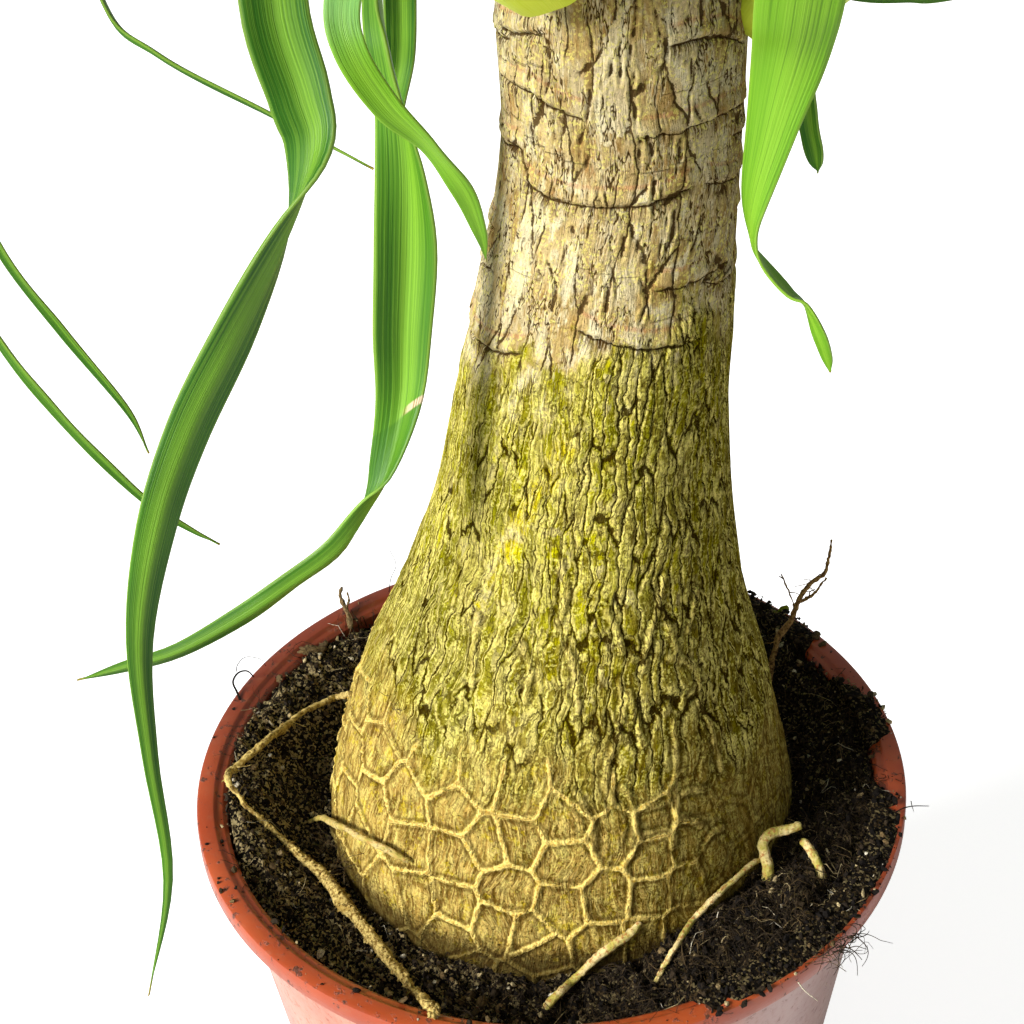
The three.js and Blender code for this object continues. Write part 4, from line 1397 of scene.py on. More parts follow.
def build_roots(settings):
    rng = random.Random(settings.seed)
    jobs = []

    def rod_job(points, radii, sides, steps, marks):
        jobs.append(lambda part, layers: add_rod(
            part, points, lambda t: along_keys(radii, t * (len(radii) - 1))[0], sides, steps,
            list(zip(layers, marks))))

    def crust_job(place, size, marks, seed):
        def work(part, layers):
            turn = Quaternion((1, seed % 7, seed % 5, seed % 3)).normalized()
            squash = Matrix.Diagonal((1.4, 1, 0.7, 1))
            for vert in add_crumb(part, layers, place, size, turn, squash, 0.0, seed):
                vert[layers[0]], vert[layers[1]] = marks
        jobs.append(work)

    for order, (name, radii, line) in enumerate(ROOTS + STANDING_ROOTS):
        young, dead = name in YOUNG_ROOTS, name.startswith("dead")
        resting = order < len(ROOTS)
        points = resting_line(line) if resting else [at_height(*key) for key in line]
        thicknesses = [(radius,) for radius in radii]
        keys = [tuple(point) for point in points]
        length = sum((b - a).length for a, b in zip(points, points[1:]))
        marks = (0.6 if name == "clinging" else float(young), float(dead))
        rod_job(points, thicknesses, 12, int(length / 0.7), marks)
        if young or name == "clinging":
            continue
        for _ in range(int(length / 6)):
            place = Vector(along_keys(keys, rng.uniform(0.12, 0.92) * (len(keys) - 1)))
            way = Vector((rng.gauss(0, 1), rng.gauss(0, 1), rng.uniform(-0.4, 0.6))).normalized()
            bend = Vector((rng.gauss(0, 1), rng.gauss(0, 1), -0.6)).normalized()
            reach = rng.uniform(1.5, 4.5) * (1.2 if dead else 1.0)
            twig = [place, place + way * reach * 0.5, place + way * reach + bend * reach * 0.4]
            rod_job(twig, [(0.2,), (0.14,), (0.08,)], 4, 6, marks)
        if name != "left":
            continue
        for k in range(settings.crust):
            at = rng.uniform(0.28, 0.99) ** 0.6
            place = Vector(along_keys(keys, at * (len(keys) - 1)))
            thick = along_keys(thicknesses, at * (len(radii) - 1))[0]
            way = Vector((rng.gauss(0, 1), rng.gauss(0, 1), rng.gauss(0.5, 1))).normalized()
            crust_job(place + way * thick, rng.uniform(0.25, 0.8), marks, k)
    shape = gathered(("young", "dead"), jobs)
    young_layer = shape.verts.layers.float["young"]
    for vert in shape.verts:
        rough = 1.4 - vert[young_layer]
        knots = (noise.noise(vert.co * 0.35) * 0.8 + noise.noise(vert.co * 1.1) * 0.7) * rough
        vert.co += Vector((noise.noise(vert.co * 0.14), noise.noise(vert.co * 0.14 + AWAY), 0)) * (
            0.9 * rough - 0.3)
        vert.co += Vector((noise.noise(vert.co + Vector((9, 0, 0))),
                           noise.noise(vert.co + Vector((0, 9, 0))), knots)) * 0.4
    return shape


class RootSettings(PropertyGroup):
    seed: whole("Seed", "Places the rootlets anew", 8)
    crust: whole("Crust", "Grains that stick to the long root", 420)
    cork: hue("Cork", "Light patches of the old roots", 220, 194, 116)


class PALM_OT_roots(Operator):
    """Adds the roots that show on the soil"""

    bl_idname = "palm.roots"
    bl_label = "Add Roots"

    def execute(self, context):
        settings = context.scene.palm_roots
        piece = finished("surface_roots", build_roots(settings), root_material(settings))
        carried(piece, "corky_bark", "trunk")
        return {"FINISHED"}


# Litter

# Single wiry roots and twigs: pixel X and Y and height of their points, thickness and tone
WIRES = [
    ("twig", 0.95, 0.74,
     [(351, 628, 168), (347, 612, 171), (342, 601, 174), (340, 594, 176), (342, 587, 178)]),
    ("twig shoot", 0.5, 0.74, [(346, 608, 172), (349, 600, 175), (347, 592, 177)]),
    ("hanging fibre", 0.14, 0.7,
     [(344, 606, 173), (352, 618, 171), (350, 632, 168), (346, 644, 166)]),
    ("loop", 0.42, 0.1,
     [(240, 700, 170), (237, 692, 171), (233, 682, 173), (238, 673, 174), (247, 671, 174),
      (254, 677, 173)]),
    ("arc", 0.16, 0.05,
     [(236, 672, 171), (238, 664, 173), (246, 657, 174), (260, 659, 173), (266, 666, 171)]),
    ("back hair", 0.14, 0.1,
     [(389, 592, 170), (391, 578, 174), (396, 566, 178), (392, 554, 181), (386, 547, 183)]),
    ("right wire", 0.22, 0.1,
     [(896, 812, 171), (904, 808, 171.5), (914, 806, 171.5), (929, 806, 171.5)]),
    ("cross wire", 0.16, 0.1, [(911, 801, 172), (912, 806, 171.5), (914, 812, 171)]),
    ("pale fibre", 0.2, 0.95,
     [(798, 982, 171), (804, 990, 171), (811, 996, 170.5), (818, 1001, 169)]),
    ("white hair", 0.1, 1.0,
     [(826, 884, 167), (832, 892, 167.5), (838, 906, 167.5), (834, 922, 167)]),
    ("white hair two", 0.1, 1.0,
     [(824, 888, 167), (834, 894, 168), (846, 900, 168), (850, 912, 167)]),
    ("left tuft", 0.12, 0.75,
     [(268, 722, 169), (262, 716, 171), (270, 709, 172), (278, 713, 171)]),
]
# Bundles of fine hairs: pixel X and Y, spread in pixels, how many, length in mm and tone
HAIRS = [
    (322, 772, 16, 26, 7, 0.72), (330, 850, 22, 40, 9, 0.66), (286, 892, 14, 18, 6, 0.8),
    (300, 900, 20, 22, 6, 0.5), (350, 870, 16, 26, 8, 0.6), (836, 905, 14, 26, 6, 0.85),
    (780, 900, 40, 60, 7, 0.55), (820, 940, 26, 60, 8, 0.5), (720, 960, 40, 40, 7, 0.5),
    (400, 700, 10, 6, 5, 0.6), (470, 1000, 40, 30, 6, 0.55), (860, 790, 26, 40, 6, 0.4),
    (330, 690, 16, 14, 6, 0.6), (850, 850, 26, 40, 6, 0.5),
]
# Fine roots that hang over the rim at the right front: pixels of the places they leave
RIM_TUFTS = [(836, 950), (840, 946), (848, 940), (852, 936), (846, 944)]
# Bark chips and crumbs: pixel X and Y, length, width and thickness in mm, turn, tone and green
CHIPS = [
    (312, 650, 9.5, 4.2, 1.8, 12, 0.66, 0.0), (322, 646, 5.0, 2.8, 1.6, 40, 0.6, 0.0),
    (816, 636, 4.6, 3.0, 2.0, 60, 0.6, 0.0), (822, 644, 3.0, 2.0, 1.6, 20, 0.62, 0.0),
    (339, 900, 5.5, 1.2, 0.8, 65, 0.5, 0.85), (284, 929, 2.2, 1.8, 1.4, 0, 0.66, 0.5),
    (357, 990, 2.0, 1.6, 1.4, 0, 0.1, 0.0), (470, 996, 3.4, 2.8, 2.2, 30, 0.58, 0.0),
    (482, 1004, 4.0, 3.0, 2.4, 70, 0.6, 0.0), (494, 994, 2.8, 2.4, 2.0, 10, 0.5, 0.0),
    (476, 1012, 3.0, 2.6, 2.0, 50, 0.56, 0.0), (500, 1008, 2.6, 2.2, 1.8, 0, 0.64, 0.0),
    (784, 610, 4.0, 2.6, 2.0, 20, 0.3, 0.8), (776, 614, 3.0, 2.2, 1.6, 80, 0.3, 0.7),
    (760, 990, 3.0, 1.6, 1.2, 25, 0.5, 0.0), (256, 880, 2.4, 2.0, 1.4, 0, 0.45, 0.0),
]


def add_chip(shape, place, length, width, thick, turn, rng):
    """A rough flat chip: a faceted ball, squashed, turned and made uneven."""
    matrix = (Matrix.Translation(place) @ Matrix.Rotation(math.radians(turn), 4, "Z")
              @ Matrix.Rotation(rng.uniform(-0.3, 0.3), 4, "Y")
              @ Matrix.Diagonal((length / 2, width / 2, thick / 2, 1)))
    made = bmesh.ops.create_icosphere(shape, subdivisions=3, radius=1, matrix=matrix)["verts"]
    seed = Vector((rng.uniform(0, 90), rng.uniform(0, 90), rng.uniform(0, 90)))
    for vert in made:
        rough = 1 + 0.55 * noise.noise(vert.co * 0.55 + seed)
        rough = rough + 0.25 * noise.noise(vert.co * 1.7 + seed)
        vert.co = place + (vert.co - place) * rough
    return made


def hair_points(rng, px, py, spread, length):
    start = seen_at(px + rng.gauss(0, spread / 2), py + rng.gauss(0, spread / 2), 0.2)
    heading = rng.uniform(0, 2 * math.pi)
    turn = rng.gauss(0, 0.8)
    points = [start]
    for _ in range(3):
        step = polar(1, heading, rng.gauss(0.1, 0.35))
        points.append(points[-1] + step * length * rng.uniform(0.2, 0.45))
        heading += turn
    points[-1].z = min(points[-1].z, start.z + 1.0)
    return points


def tuft_points(rng, px, py):
    """A fine root that leaves the soil over the rim, droops and curls."""
    place = at_height(px + rng.uniform(-3, 3), py + rng.uniform(-3, 3), 171.5)
    heading = math.atan2(place.y, place.x) + rng.gauss(0, 0.5)
    curl = rng.gauss(0, 0.55)
    step = rng.uniform(0.9, 1.9)
    points = []
    for k in range(7):
        points.append(place)
        heading += curl + rng.gauss(0, 0.3)
        place = place + polar(1, heading, 0.35 - 0.22 * k) * step
    return points


def build_litter(settings):
    rng = random.Random(settings.seed)
    jobs = []

    def rod_job(points, thick, sides, steps, tone, knobs=0.0):
        def radius_at(t):
            return thick * (1 - 0.5 * t) * (1 + knobs * math.sin(23 * t) * math.sin(9 * t))
        jobs.append(lambda part, layers: add_rod(part, points, radius_at, sides, steps,
                                                 [(layers[0], tone)]))

    def chip_job(place, size, turn, tone, green, seed):
        def work(part, layers):
            for vert in add_chip(part, place, *size, turn, random.Random(seed)):
                vert[layers[0]], vert[layers[1]] = tone, green
        jobs.append(work)

    for name, thick, tone, line in WIRES:
        knobs = 0.35 if name.startswith("twig") else 0.0
        rod_job([at_height(*key) for key in line], thick, 6, 26, tone, knobs)
    for px, py, spread, count, length, tone in HAIRS:
        for _ in range(count):
            pale = tone + rng.uniform(-0.12, 0.12)
            rod_job(hair_points(rng, px, py, spread, length), 0.06 + 0.12 * pale, 3, 8, pale)
    for px, py in RIM_TUFTS:
        for _ in range(5):
            rod_job(tuft_points(rng, px, py), rng.uniform(0.09, 0.18), 4, 24, rng.uniform(0.2, 0.6))
    for seed, (px, py, length, width, thick, turn, tone, green) in enumerate(CHIPS):
        chip_job(seen_at(px, py, 0.4), (length, width, thick), turn, tone, green, seed)
    return gathered(("tone", "green"), jobs)


class LitterSettings(PropertyGroup):
    seed: whole("Seed", "Places the hairs anew", 31)


class PALM_OT_litter(Operator):
    """Adds the twigs, wiry roots, hairs and chips that lie on the soil and the rim"""

    bl_idname = "palm.litter"
    bl_label = "Add Litter"

    def execute(self, context):
        piece = finished("soil_litter", build_litter(context.scene.palm_litter), crumb_material())
        carried(piece, "potting_soil")
        return {"FINISHED"}


# Heads of leaves

# Angles in degrees round the trunk; the collar is the height where a head leaves the stem
Head = namedtuple("Head", "name azimuth collar sector seed")
HEADS = [
    Head("head_front_left", 236, 421, (180, 285), 11),
    Head("head_right", 352, 402, (285, 380), 22),
    Head("head_back_right", 62, 420, (20, 105), 33),
    Head("head_back_left", 143, 412, (105, 180), 44),
]
LEAVES = 22
LEAF_SEGMENTS = 24
GOLDEN_ANGLE = 137.508
HEAD_TILT = math.radians(50)
FOLD = 0.22
SECTOR_MARGIN = 9
LOWEST_LEAF = 40
LEAST_WIDTH = 0.12
# From a head's youngest leaf to its oldest: length, angles at the foot and the end, half a width
LEAF_LENGTHS = (200, 480)
LEAF_LAUNCHES = (86, 48)
LEAF_HANGS = (-20, 84)
LEAF_HALF_WIDTHS = (4.5, 7.5)
BUD_HEIGHT = 68
BUD_SIDES = 36
# The extra young leaves: the age they start from, and their length and width beside the others'
YOUNG_FROM = 12
YOUNG_SIZE = 0.85
YOUNG_WIDTH = 0.7
BUD_OUTLINE = [
    (0, 0), (7, 0), (10, 4), (12, 12), (14.5, 26), (17, 40), (16.5, 52), (11, 63), (0, BUD_HEIGHT),
]
FRONT = Vector((0, -0.81, 0.58))
# Each hanging leaf has a seed from this one on, and one of them has a torn edge
FIRST_HERO = 60
TORN_BLADE = 62
# Fold of each hanging leaf below, and how light it is at its foot and its end, 0 to 1
HERO_LOOKS = {
    "head_front_left": ((0.3, 0.2, 0.12), (0.12, 1.12, 0.6), (0.55, 0.4, 0.2)),
    "head_right": ((-0.14, 0.9, 0.5), (0.4, 0.1, 0.1), (0.3, 0.3, 0.3)),
    "head_back_left": ((0.4, 0.12, 0.12), (0.4, 0.15, 0.15), (0.4, 0.25, 0.2), (0.4, 0.3, 0.2)),
}

# Leaves that hang where they are seen best: X, Y, Z, half the blade's width and its turn
HERO_LEAVES = {
    "head_front_left": [
        [(-2, -40, 440, 4.5, 0), (-14, -72, 478, 5.4, 0), (-28, -106, 496, 5.8, 0),
         (-37, -128, 486, 5.7, 0), (-39, -135, 462, 5.6, 0), (-36, -140, 448, 5.5, 12),
         (-35, -143, 440, 5.3, 38), (-40, -147, 428, 5, 88), (-49, -152, 412, 4.7, 128),
         (-59, -156, 395, 4.2, 142), (-66, -162, 379, 3.7, 150), (-71, -168, 359, 2.5, 150),
         (-71, -176, 339, 1.5, 160), (-70, -184, 316, 0.9, 170), (-76, -191, 293, 0, 180)],
        [(0, -38, 438, 4.2, 20), (-14, -56, 458, 4.4, 10), (-28, -67, 452, 4, 0),
         (-34, -69, 436, 3.7, 0), (-33, -73, 427, 3.4, 0), (-27, -74, 416, 3, 20),
         (-19, -72, 406, 2.6, 66), (-13, -70, 395, 2.4, 30), (-10, -67, 384, 1.5, 20),
         (-9, -63, 375, 0, 10)],
        [(-1, -36, 438, 4, 30), (-16, -30, 458, 5, 60), (-30, -19, 446, 5, 70),
         (-33, -11, 414, 5, 68), (-32, -14, 401, 5.4, 62), (-30, -17, 387, 6.2, 50),
         (-29, -19, 373, 7, 30), (-29, -22, 356, 7.7, 4), (-31, -26, 337, 7.2, 4),
         (-33, -30, 320, 6.2, 14), (-38, -35, 304, 5.2, 46), (-43, -38, 296, 4.6, 88),
         (-51, -42, 285, 4, 122), (-63, -45, 277, 3.5, 130), (-76, -48, 269, 3.1, 140),
         (-92, -52, 262, 2.3, 150), (-106, -54, 259, 1.5, 160), (-118, -55, 256, 0, 170)],
    ],
    "head_right": [
        [(61, -14, 436, 6, 0), (64, -30, 456, 8.6, 0), (61, -42, 448, 9.4, 0),
         (58, -45, 423, 9.2, 0), (57, -40, 408, 8, 8), (54, -39, 391, 5.8, 22),
         (51, -39, 374, 4, 52), (51, -40, 365, 3, 88), (53, -41, 360, 2.7, 112),
         (59, -43, 353, 2.4, 124), (63, -44, 350, 2.2, 92), (66, -46, 343, 2, 62),
         (68, -46, 337, 1.4, 50), (69, -46, 333, 0, 40)],
        [(64, -2, 426, 3.6, 20), (72, -2, 424, 3.6, 30), (70, -1, 408, 3.2, 30),
         (66, -2, 392, 2.8, 30), (67, -4, 378, 2.6, 30), (69, -6, 368, 2.2, 30),
         (70, -6, 364, 0, 30)],
        [(62, -1, 414, 3, 80), (76, 3, 405, 2.4, 76), (90, 4, 403, 2.2, 76), (103, 6, 403, 2.6, 70),
         (150, 10, 410, 4, 60), (200, 15, 396, 5, 40), (238, 19, 352, 4.4, 20),
         (256, 22, 296, 2.6, 0), (262, 24, 250, 0, 0)],
    ],
    "head_back_left": [
        [(-8, 24, 434, 3.6, 40), (-20, 20, 444, 4, 20), (-27, 14, 428, 4.1, 8),
         (-28, 13, 404, 4, 0), (-29, 12, 390, 3.7, 0), (-32, 10, 377, 3.2, 0),
         (-32, 10, 367, 2.6, 0), (-31, 9, 357, 0, 0)],
        [(-10, 27, 436, 3.6, 20), (-44, 40, 478, 4, 40), (-84, 46, 486, 4, 60),
         (-110, 42, 452, 2.8, 74), (-103, 35, 400, 1.8, 80), (-90, 30, 386, 1.5, 80),
         (-63, 25, 371, 1.3, 80), (-38, 19, 358, 0, 80)],
        [(-10, 29, 440, 3.8, 10), (-64, 48, 512, 5, 20), (-128, 58, 508, 5, 40),
         (-160, 54, 430, 4.4, 50), (-150, 44, 358, 2.6, 50), (-142, 39, 329, 2.1, 50),
         (-129, 36, 305, 1.9, 40), (-114, 31, 282, 1.2, 30), (-109, 28, 269, 0, 30)],
        [(-8, 25, 440, 3.8, 10), (-64, 30, 498, 5, 20), (-124, 30, 492, 5, 40),
         (-156, 24, 420, 4.4, 50), (-152, 18, 346, 3, 56), (-140, 15, 314, 2.6, 56),
         (-129, 13, 294, 2.3, 50), (-118, 12, 277, 2, 44), (-107, 12, 262, 1.5, 40),
         (-97, 12, 253, 0.9, 40), (-90, 12, 248, 0, 40)],
    ],
}


def head_seat(head):
    """Where a head leaves the stem and which way it points."""
    angle = math.radians(head.azimuth)
    x, radius = trunk_at(head.collar)
    seat = Vector((x + radius * math.cos(angle), radius * math.sin(angle), head.collar))
    return seat, polar(math.cos(HEAD_TILT), angle, math.sin(HEAD_TILT))


def bend_clear(place, head):
    """Keeps a leaf inside its own head's sector."""
    start, end = head.sector
    for edge, turn in ((start, 1), (end, -1)):
        angle = math.radians(edge)
        inward = Vector((-math.sin(angle) * turn, math.cos(angle) * turn, 0))
        away = (place - CROWN).dot(inward)
        if away < SECTOR_MARGIN:
            place = place + inward * (SECTOR_MARGIN - away)
    place.z = max(place.z, LOWEST_LEAF)
    return place


def arched_stations(head, order, leaves, chance, size=1.0):
    """An arching leaf's middle line with its side directions and half widths."""
    point, direction = head_seat(head)
    age = 1 - (order + 0.5) / leaves
    turned = order * GOLDEN_ANGLE + 4 * (chance() - 0.5)
    turn = math.fmod(turned + 180, 360) - 180
    half = (head.sector[1] - head.sector[0]) / 2 - 5
    heading = math.radians(sum(head.sector) / 2 + turn / 180 * half)
    frontness = max(0.0, -math.sin(heading))
    backness = max(0.0, math.sin(heading))
    length = mix(*LEAF_LENGTHS, age**0.6) * (0.9 + 0.2 * chance()) * (1 - 0.2 * frontness**2) * size
    launch = math.radians(mix(*LEAF_LAUNCHES, age) * (1 + 0.25 * frontness**2))
    hang = mix(*LEAF_HANGS, age**0.5) * (1 - 0.75 * frontness**2 - 0.25 * backness**2)
    half_width = mix(*LEAF_HALF_WIDTHS, age**0.5) * (0.9 + 0.2 * chance())
    twist = math.radians((chance() - 0.5) * 320 * age)
    lean = math.radians(head.azimuth + turn)
    first = polar(math.cos(launch), lean, math.sin(launch))
    across = Vector((-math.sin(heading), math.cos(heading), 0))
    place = point + direction * mix(56, 22, age) + first * mix(1, 5, age)
    keys = []
    for k in range(LEAF_SEGMENTS + 1):
        t = k / LEAF_SEGMENTS
        elevation = mix(launch, -math.radians(hang), eased(t / 0.8))
        arching = polar(math.cos(elevation), heading, math.sin(elevation))
        way = first.lerp(arching, eased(t / 0.4)).normalized()
        side = across.cross(way).cross(way).normalized() * -1
        side.rotate(Quaternion(way, twist * eased((t - 0.25) / 0.75)))
        width = half_width * min(1.0, 0.12 + 2.4 * t) * (1 - t**2)
        keys.append((*bend_clear(place.copy(), head), max(width, LEAST_WIDTH), *side))
        place = place + way * (length / LEAF_SEGMENTS)
    return smooth_stations(keys, 40)


def smooth_stations(keys, count):
    stations = []
    for k in range(count + 1):
        x, y, z, width, *side = along_keys(keys, (len(keys) - 1) * k / count)
        stations.append((Vector((x, y, z)), Vector(side).normalized(), max(width, LEAST_WIDTH)))
    return stations


def hero_stations(keys, count=84):
    stations = []
    last = len(keys) - 1
    for k in range(count + 1):
        at = last * k / count
        x, y, z, width, turn = along_keys(keys, at)
        ahead = Vector(along_keys(keys, min(at + 0.05, last))[:3])
        behind = Vector(along_keys(keys, max(at - 0.05, 0))[:3])
        way = (ahead - behind).normalized()
        side = FRONT.cross(way).normalized()
        side.rotate(Quaternion(way, math.radians(turn)))
        stations.append((Vector((x, y, z)), side, max(width, LEAST_WIDTH)))
    return stations


def add_strap(shape, stations, columns, layers, tone, end_tone, seed, fold=FOLD):
    """A channelled blade along its stations, laid out from a grid."""
    rows = len(stations) - 1
    for vert, share, row in grid_points(shape, columns, rows):
        across = 2 * (share - 0.5)
        centre, side, width = stations[row]
        way = (stations[min(row + 1, rows)][0] - stations[max(row - 1, 0)][0]).normalized()
        under = way.cross(side).normalized()
        ripple = 0.05 * math.sin(row * 0.55 + seed * 2.1) * across * abs(across)
        sink = fold * width * (1 - abs(across) ** 1.25) + ripple * width
        vert.co = centre + side * (width * across) - under * sink
        vert[layers[0]], vert[layers[1]] = across, row / rows
        vert[layers[2]] = mix(tone, end_tone, row / rows)
        vert[layers[3]] = seed


def add_bud(shape, head, layers):
    """The green foot of a head, the first thing in its shape: spun and turned the head's way."""
    point, direction = head_seat(head)
    spun(shape, BUD_OUTLINE, BUD_SIDES)
    bmesh.ops.remove_doubles(shape, verts=shape.verts, dist=0.01)
    turn = Vector((0, 0, 1)).rotation_difference(direction)
    for vert in shape.verts:
        angle = math.atan2(vert.co.y, vert.co.x)
        sheath = 1 + 0.05 * math.sin(5 * angle + vert.co.z * 0.05)
        vert[layers[0]] = math.sin(2.5 * angle)
        vert[layers[1]] = -vert.co.z / BUD_HEIGHT
        vert[layers[2]] = 0.5
        vert.co = point + turn @ Vector((vert.co.x * sheath, vert.co.y * sheath, vert.co.z))


def build_head(head, settings):
    shape = bmesh.new()
    layers = [shape.verts.layers.float.new(name)
              for name in ("blade across", "blade along", "blade tone", "blade seed")]
    add_bud(shape, head, layers)
    chance = number_stream(head.seed)
    tones = random.Random(head.seed)
    for order in range(LEAVES):
        tone = tones.uniform(0.05, 1.0)
        add_strap(shape, arched_stations(head, order, LEAVES, chance), 6, layers, tone, tone * 0.8,
                  order)
    chance = number_stream(head.seed + 100)
    young = settings.young_leaves
    for order in range(young):
        stations = arched_stations(head, order + YOUNG_FROM, young + YOUNG_FROM, chance, YOUNG_SIZE)
        tone = tones.uniform(0.05, 1.0)
        add_strap(shape, [(place, side, width * YOUNG_WIDTH) for place, side, width in stations],
                  4, layers, tone, tone * 0.8, LEAVES + order)
    heroes = zip(HERO_LEAVES.get(head.name, ()), HERO_LOOKS.get(head.name, ()))
    for order, (keys, (fold, tone, end_tone)) in enumerate(heroes):
        add_strap(shape, hero_stations(keys), 12, layers, tone, end_tone, FIRST_HERO + order, fold)
    return shape


def leaf_material(settings):
    material, graph, shader = new_material("Green leaf", 0.45, Specular_IOR_Level=0.3)
    across = graph.attribute("blade across")
    along = graph.attribute("blade along")
    tone = graph.attribute("blade tone")
    place = graph.object_place()
    blade = graph.attribute("blade seed")
    veins = graph.vector(across * 17.0, along * 3.0, blade * 2.7).noise(1.0, 2.0, 0.6)
    broad = place.noise(0.03, 2.0)
    green = graph.tint(tone.step(0.1, 0.9), settings.dark, settings.light)
    green = green.tint(broad.step(0.45, 0.75, 0.0, 0.5), (84, 142, 14))
    # A middle band is lighter, and a waxy bloom greys the lightest leaves
    band = abs(across - 0.15).step(0.7, 0.05, 0.0, 0.4)
    green = green.tint(band, (140, 188, 48))
    bloom = tone.step(0.86, 0.97) * 0.6
    green = green.tint(bloom, (116, 172, 108))
    green = green.tint(veins.step(0.45, 0.66, 0.0, 0.2), (160, 206, 66))
    green = green.tint(veins.step(0.45, 0.32, 0.0, 0.4), (28, 76, 0))
    rim = abs(across).step(0.9, 1.0, 0.0, 0.3)
    green = green.tint(rim, (176, 206, 84))
    base = along.step(-1.2, -0.45) * along.step(0.12, 0.02)
    green = green.tint(base, settings.foot)
    sheath = abs(across).step(0.16, 0.02) * along.step(-0.1, -0.4)
    green = green.tint(sheath * along.step(0.0, -0.1, 0.0, 0.5), (112, 150, 20))
    torn_blade = graph.math("COMPARE", blade, TORN_BLADE, 0.4)
    tear = across.times(0.02, plus=along - 0.545)
    below = tear.step(0.0, 0.004) * along.step(0.63, 0.6)
    green = green.tint(below * torn_blade * 0.55, (48, 100, 10))
    torn = abs(tear).step(0.0045, 0.002) * (across.step(0.0, 0.6) * torn_blade)
    green = green.tint(torn, graph.tint(veins.step(0.55, 0.45), (200, 180, 146), (128, 92, 40)))
    tip = along.step(0.985, 1.0)
    green = green.tint(tip, (170, 150, 60))
    graph.dress(shader, green, veins * 0.5, 0.5)
    return material


class HeadSettings(PropertyGroup):
    dark: hue("Dark green", "The darkest leaves", 36, 92, 0)
    light: hue("Light green", "The lightest leaves", 112, 166, 26)
    foot: hue("Leaf foot", "The lime foot of a head", 212, 228, 62)
    young_leaves: whole("Young leaves", "Extra leaves of each head", 18)
    thickness: amount("Blade thickness", "How thick a leaf is", 0.0007, unit="LENGTH")


class PALM_OT_heads(Operator):
    """Adds the four heads of strap leaves"""

    bl_idname = "palm.heads"
    bl_label = "Add Heads"

    def execute(self, context):
        settings = context.scene.palm_heads
        material = leaf_material(settings)
        for head in HEADS:
            name = head.name.replace("head", "leaves")
            piece = finished(name, build_head(head, settings), material)
            solid = piece.modifiers.new("Blade thickness", "SOLIDIFY")
            solid.thickness, solid.offset = settings.thickness, -1
            apply_modifiers(piece)
            carried(piece, "green_leaf", head.name)
        return {"FINISHED"}


# Stage

class StageSettings(PropertyGroup):
    floor_colour: FloatVectorProperty(
        name="Floor colour", description="Colour of the plain floor", subtype="COLOR",
        size=4, min=0, max=1, default=(0.8, 0.8, 0.8, 1),
    )
    floor_glow: amount("Floor glow", "Keeps shadows on the floor light", 0.75)
    fill_strength: amount("Fill strength", "Strength of the soft light from the front", 0.25)
    key_strength: amount("Key strength", "Strength of the soft light at the left", 6.3)
    sky: amount("Surrounding light", "Light from all sides", 0.22)


KEY_DIRECTION = Vector((0.78, 0.44, -0.47))
# How far round each light spreads, in degrees
KEY_SPREAD = 22
FILL_SPREAD = 50
FLOOR_SIZE = 9000


def soft_light(name, strength, direction, angle):
    lamp = bpy.data.lights.new(name, "SUN")
    lamp.energy = strength
    lamp.angle = math.radians(angle)
    lamp_object = bpy.data.objects.new(name, lamp)
    lamp_object.rotation_euler = direction.to_track_quat("-Z", "Y").to_euler()
    bpy.context.scene.collection.objects.link(lamp_object)


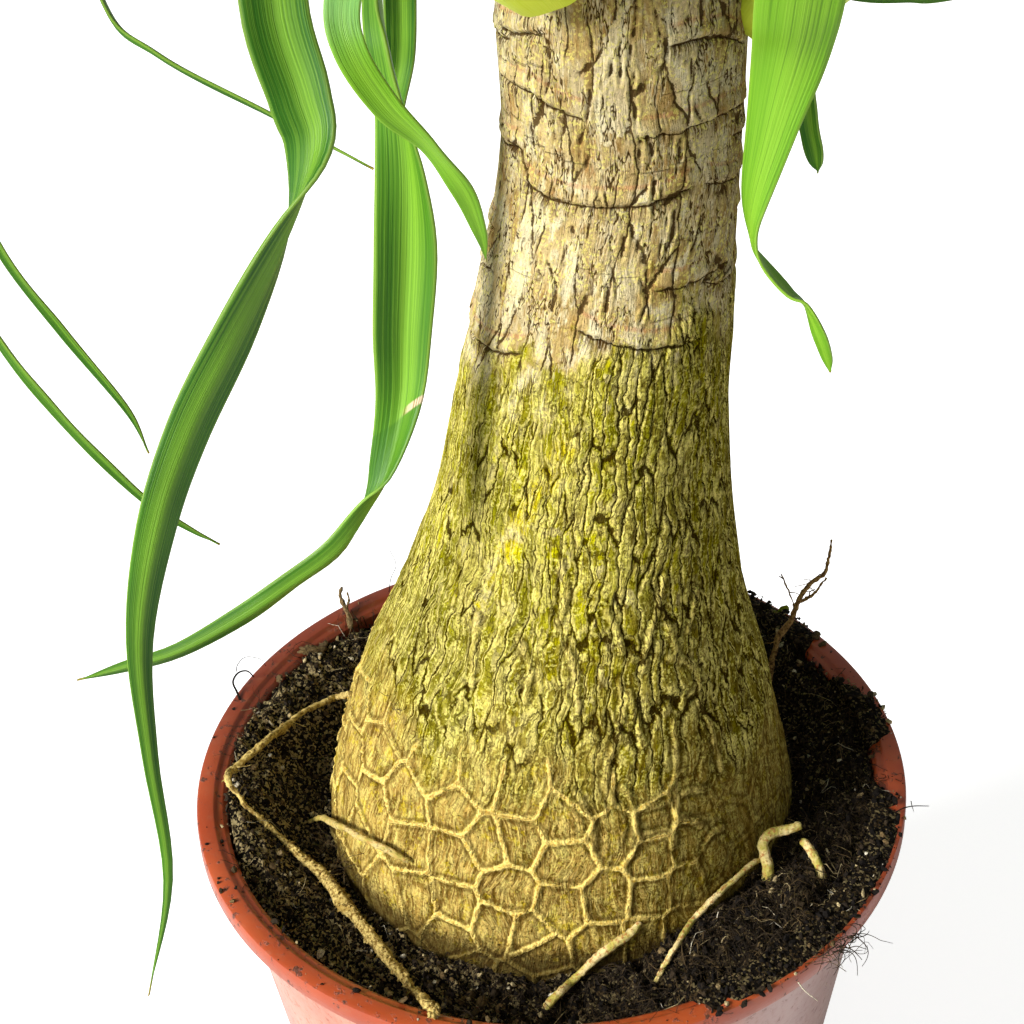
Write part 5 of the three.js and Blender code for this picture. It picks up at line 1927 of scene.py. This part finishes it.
class PALM_OT_stage(Operator):
    """Adds the floor, the soft studio light and the camera at the photo's angle"""

    bl_idname = "palm.stage"
    bl_label = "Add Stage"

    def execute(self, context):
        settings = context.scene.palm_stage
        material, graph, shader = new_material("Pale floor", 0.9)
        shader.inputs["Base Color"].default_value = settings.floor_colour
        shader.inputs["Emission Color"].default_value = (1, 1, 1, 1)
        seen = graph.made("ShaderNodeLightPath", output="Is Camera Ray")
        graph.join(seen * settings.floor_glow, shader.inputs["Emission Strength"])
        shape = bmesh.new()
        bmesh.ops.create_grid(shape, x_segments=1, y_segments=1, size=FLOOR_SIZE)
        floor = finished("floor", shape, material)

        soft_light("Key light", settings.key_strength, KEY_DIRECTION, KEY_SPREAD)
        soft_light("Fill light", settings.fill_strength, CAMERA_FORWARD, FILL_SPREAD)
        world = bpy.data.worlds.new("Studio")
        world.use_nodes = True
        backdrop = world.node_tree.nodes["Background"]
        backdrop.inputs["Color"].default_value = (1, 1, 1, 1)
        # The eye sees a white studio, while the plant gets only a little light from it
        graph = Graph(world.node_tree)
        seen = graph.made("ShaderNodeLightPath", output="Is Camera Ray")
        graph.join(seen.between(settings.sky, 1.0), backdrop.inputs["Strength"])
        context.scene.world = world

        lens = bpy.data.cameras.new("Camera")
        lens.sensor_width = SENSOR_WIDTH
        lens.lens = SENSOR_WIDTH * FOCAL_PIXELS / PHOTO_SIDE
        lens.clip_start, lens.clip_end = 0.01, 50
        camera = bpy.data.objects.new("Camera", lens)
        turn = Matrix((CAMERA_RIGHT, CAMERA_UP, -CAMERA_FORWARD)).transposed()
        camera.matrix_world = Matrix.Translation(CAMERA_PLACE * MM) @ turn.to_4x4()
        context.scene.collection.objects.link(camera)
        context.scene.camera = camera
        context.scene.view_settings.view_transform = "Standard"
        return {"FINISHED"}


class VIEW3D_PT_palm(Panel):
    """Lists the palm's pieces"""

    bl_label = "Potted Palm"
    bl_idname = "VIEW3D_PT_palm"
    bl_space_type = "VIEW_3D"
    bl_region_type = "UI"
    bl_category = "Palm"

    def draw(self, context):
        for name, group in SETTINGS.items():
            box = self.layout.box()
            settings = getattr(context.scene, name)
            for prop in group.__annotations__:
                box.prop(settings, prop)
        for operator in OPERATORS:
            self.layout.operator(operator.bl_idname)


SETTINGS = {
    "palm_pot": PotSettings, "palm_soil": SoilSettings, "palm_trunk": TrunkSettings,
    "palm_roots": RootSettings, "palm_litter": LitterSettings, "palm_heads": HeadSettings,
    "palm_stage": StageSettings,
}
OPERATORS = [
    PALM_OT_pot, PALM_OT_soil, PALM_OT_trunk, PALM_OT_roots, PALM_OT_litter, PALM_OT_heads,
    PALM_OT_stage,
]


def register():
    for name, group in SETTINGS.items():
        bpy.utils.register_class(group)
        setattr(bpy.types.Scene, name, PointerProperty(type=group))
    for item in (*OPERATORS, VIEW3D_PT_palm):
        bpy.utils.register_class(item)


def unregister():
    for item in (VIEW3D_PT_palm, *reversed(OPERATORS)):
        bpy.utils.unregister_class(item)
    for name, group in SETTINGS.items():
        delattr(bpy.types.Scene, name)
        bpy.utils.unregister_class(group)


def main():
    register()
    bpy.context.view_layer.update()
    for operator in OPERATORS:
        group, name = operator.bl_idname.split(".")
        getattr(getattr(bpy.ops, group), name)()


if __name__ == "__main__":
    main()
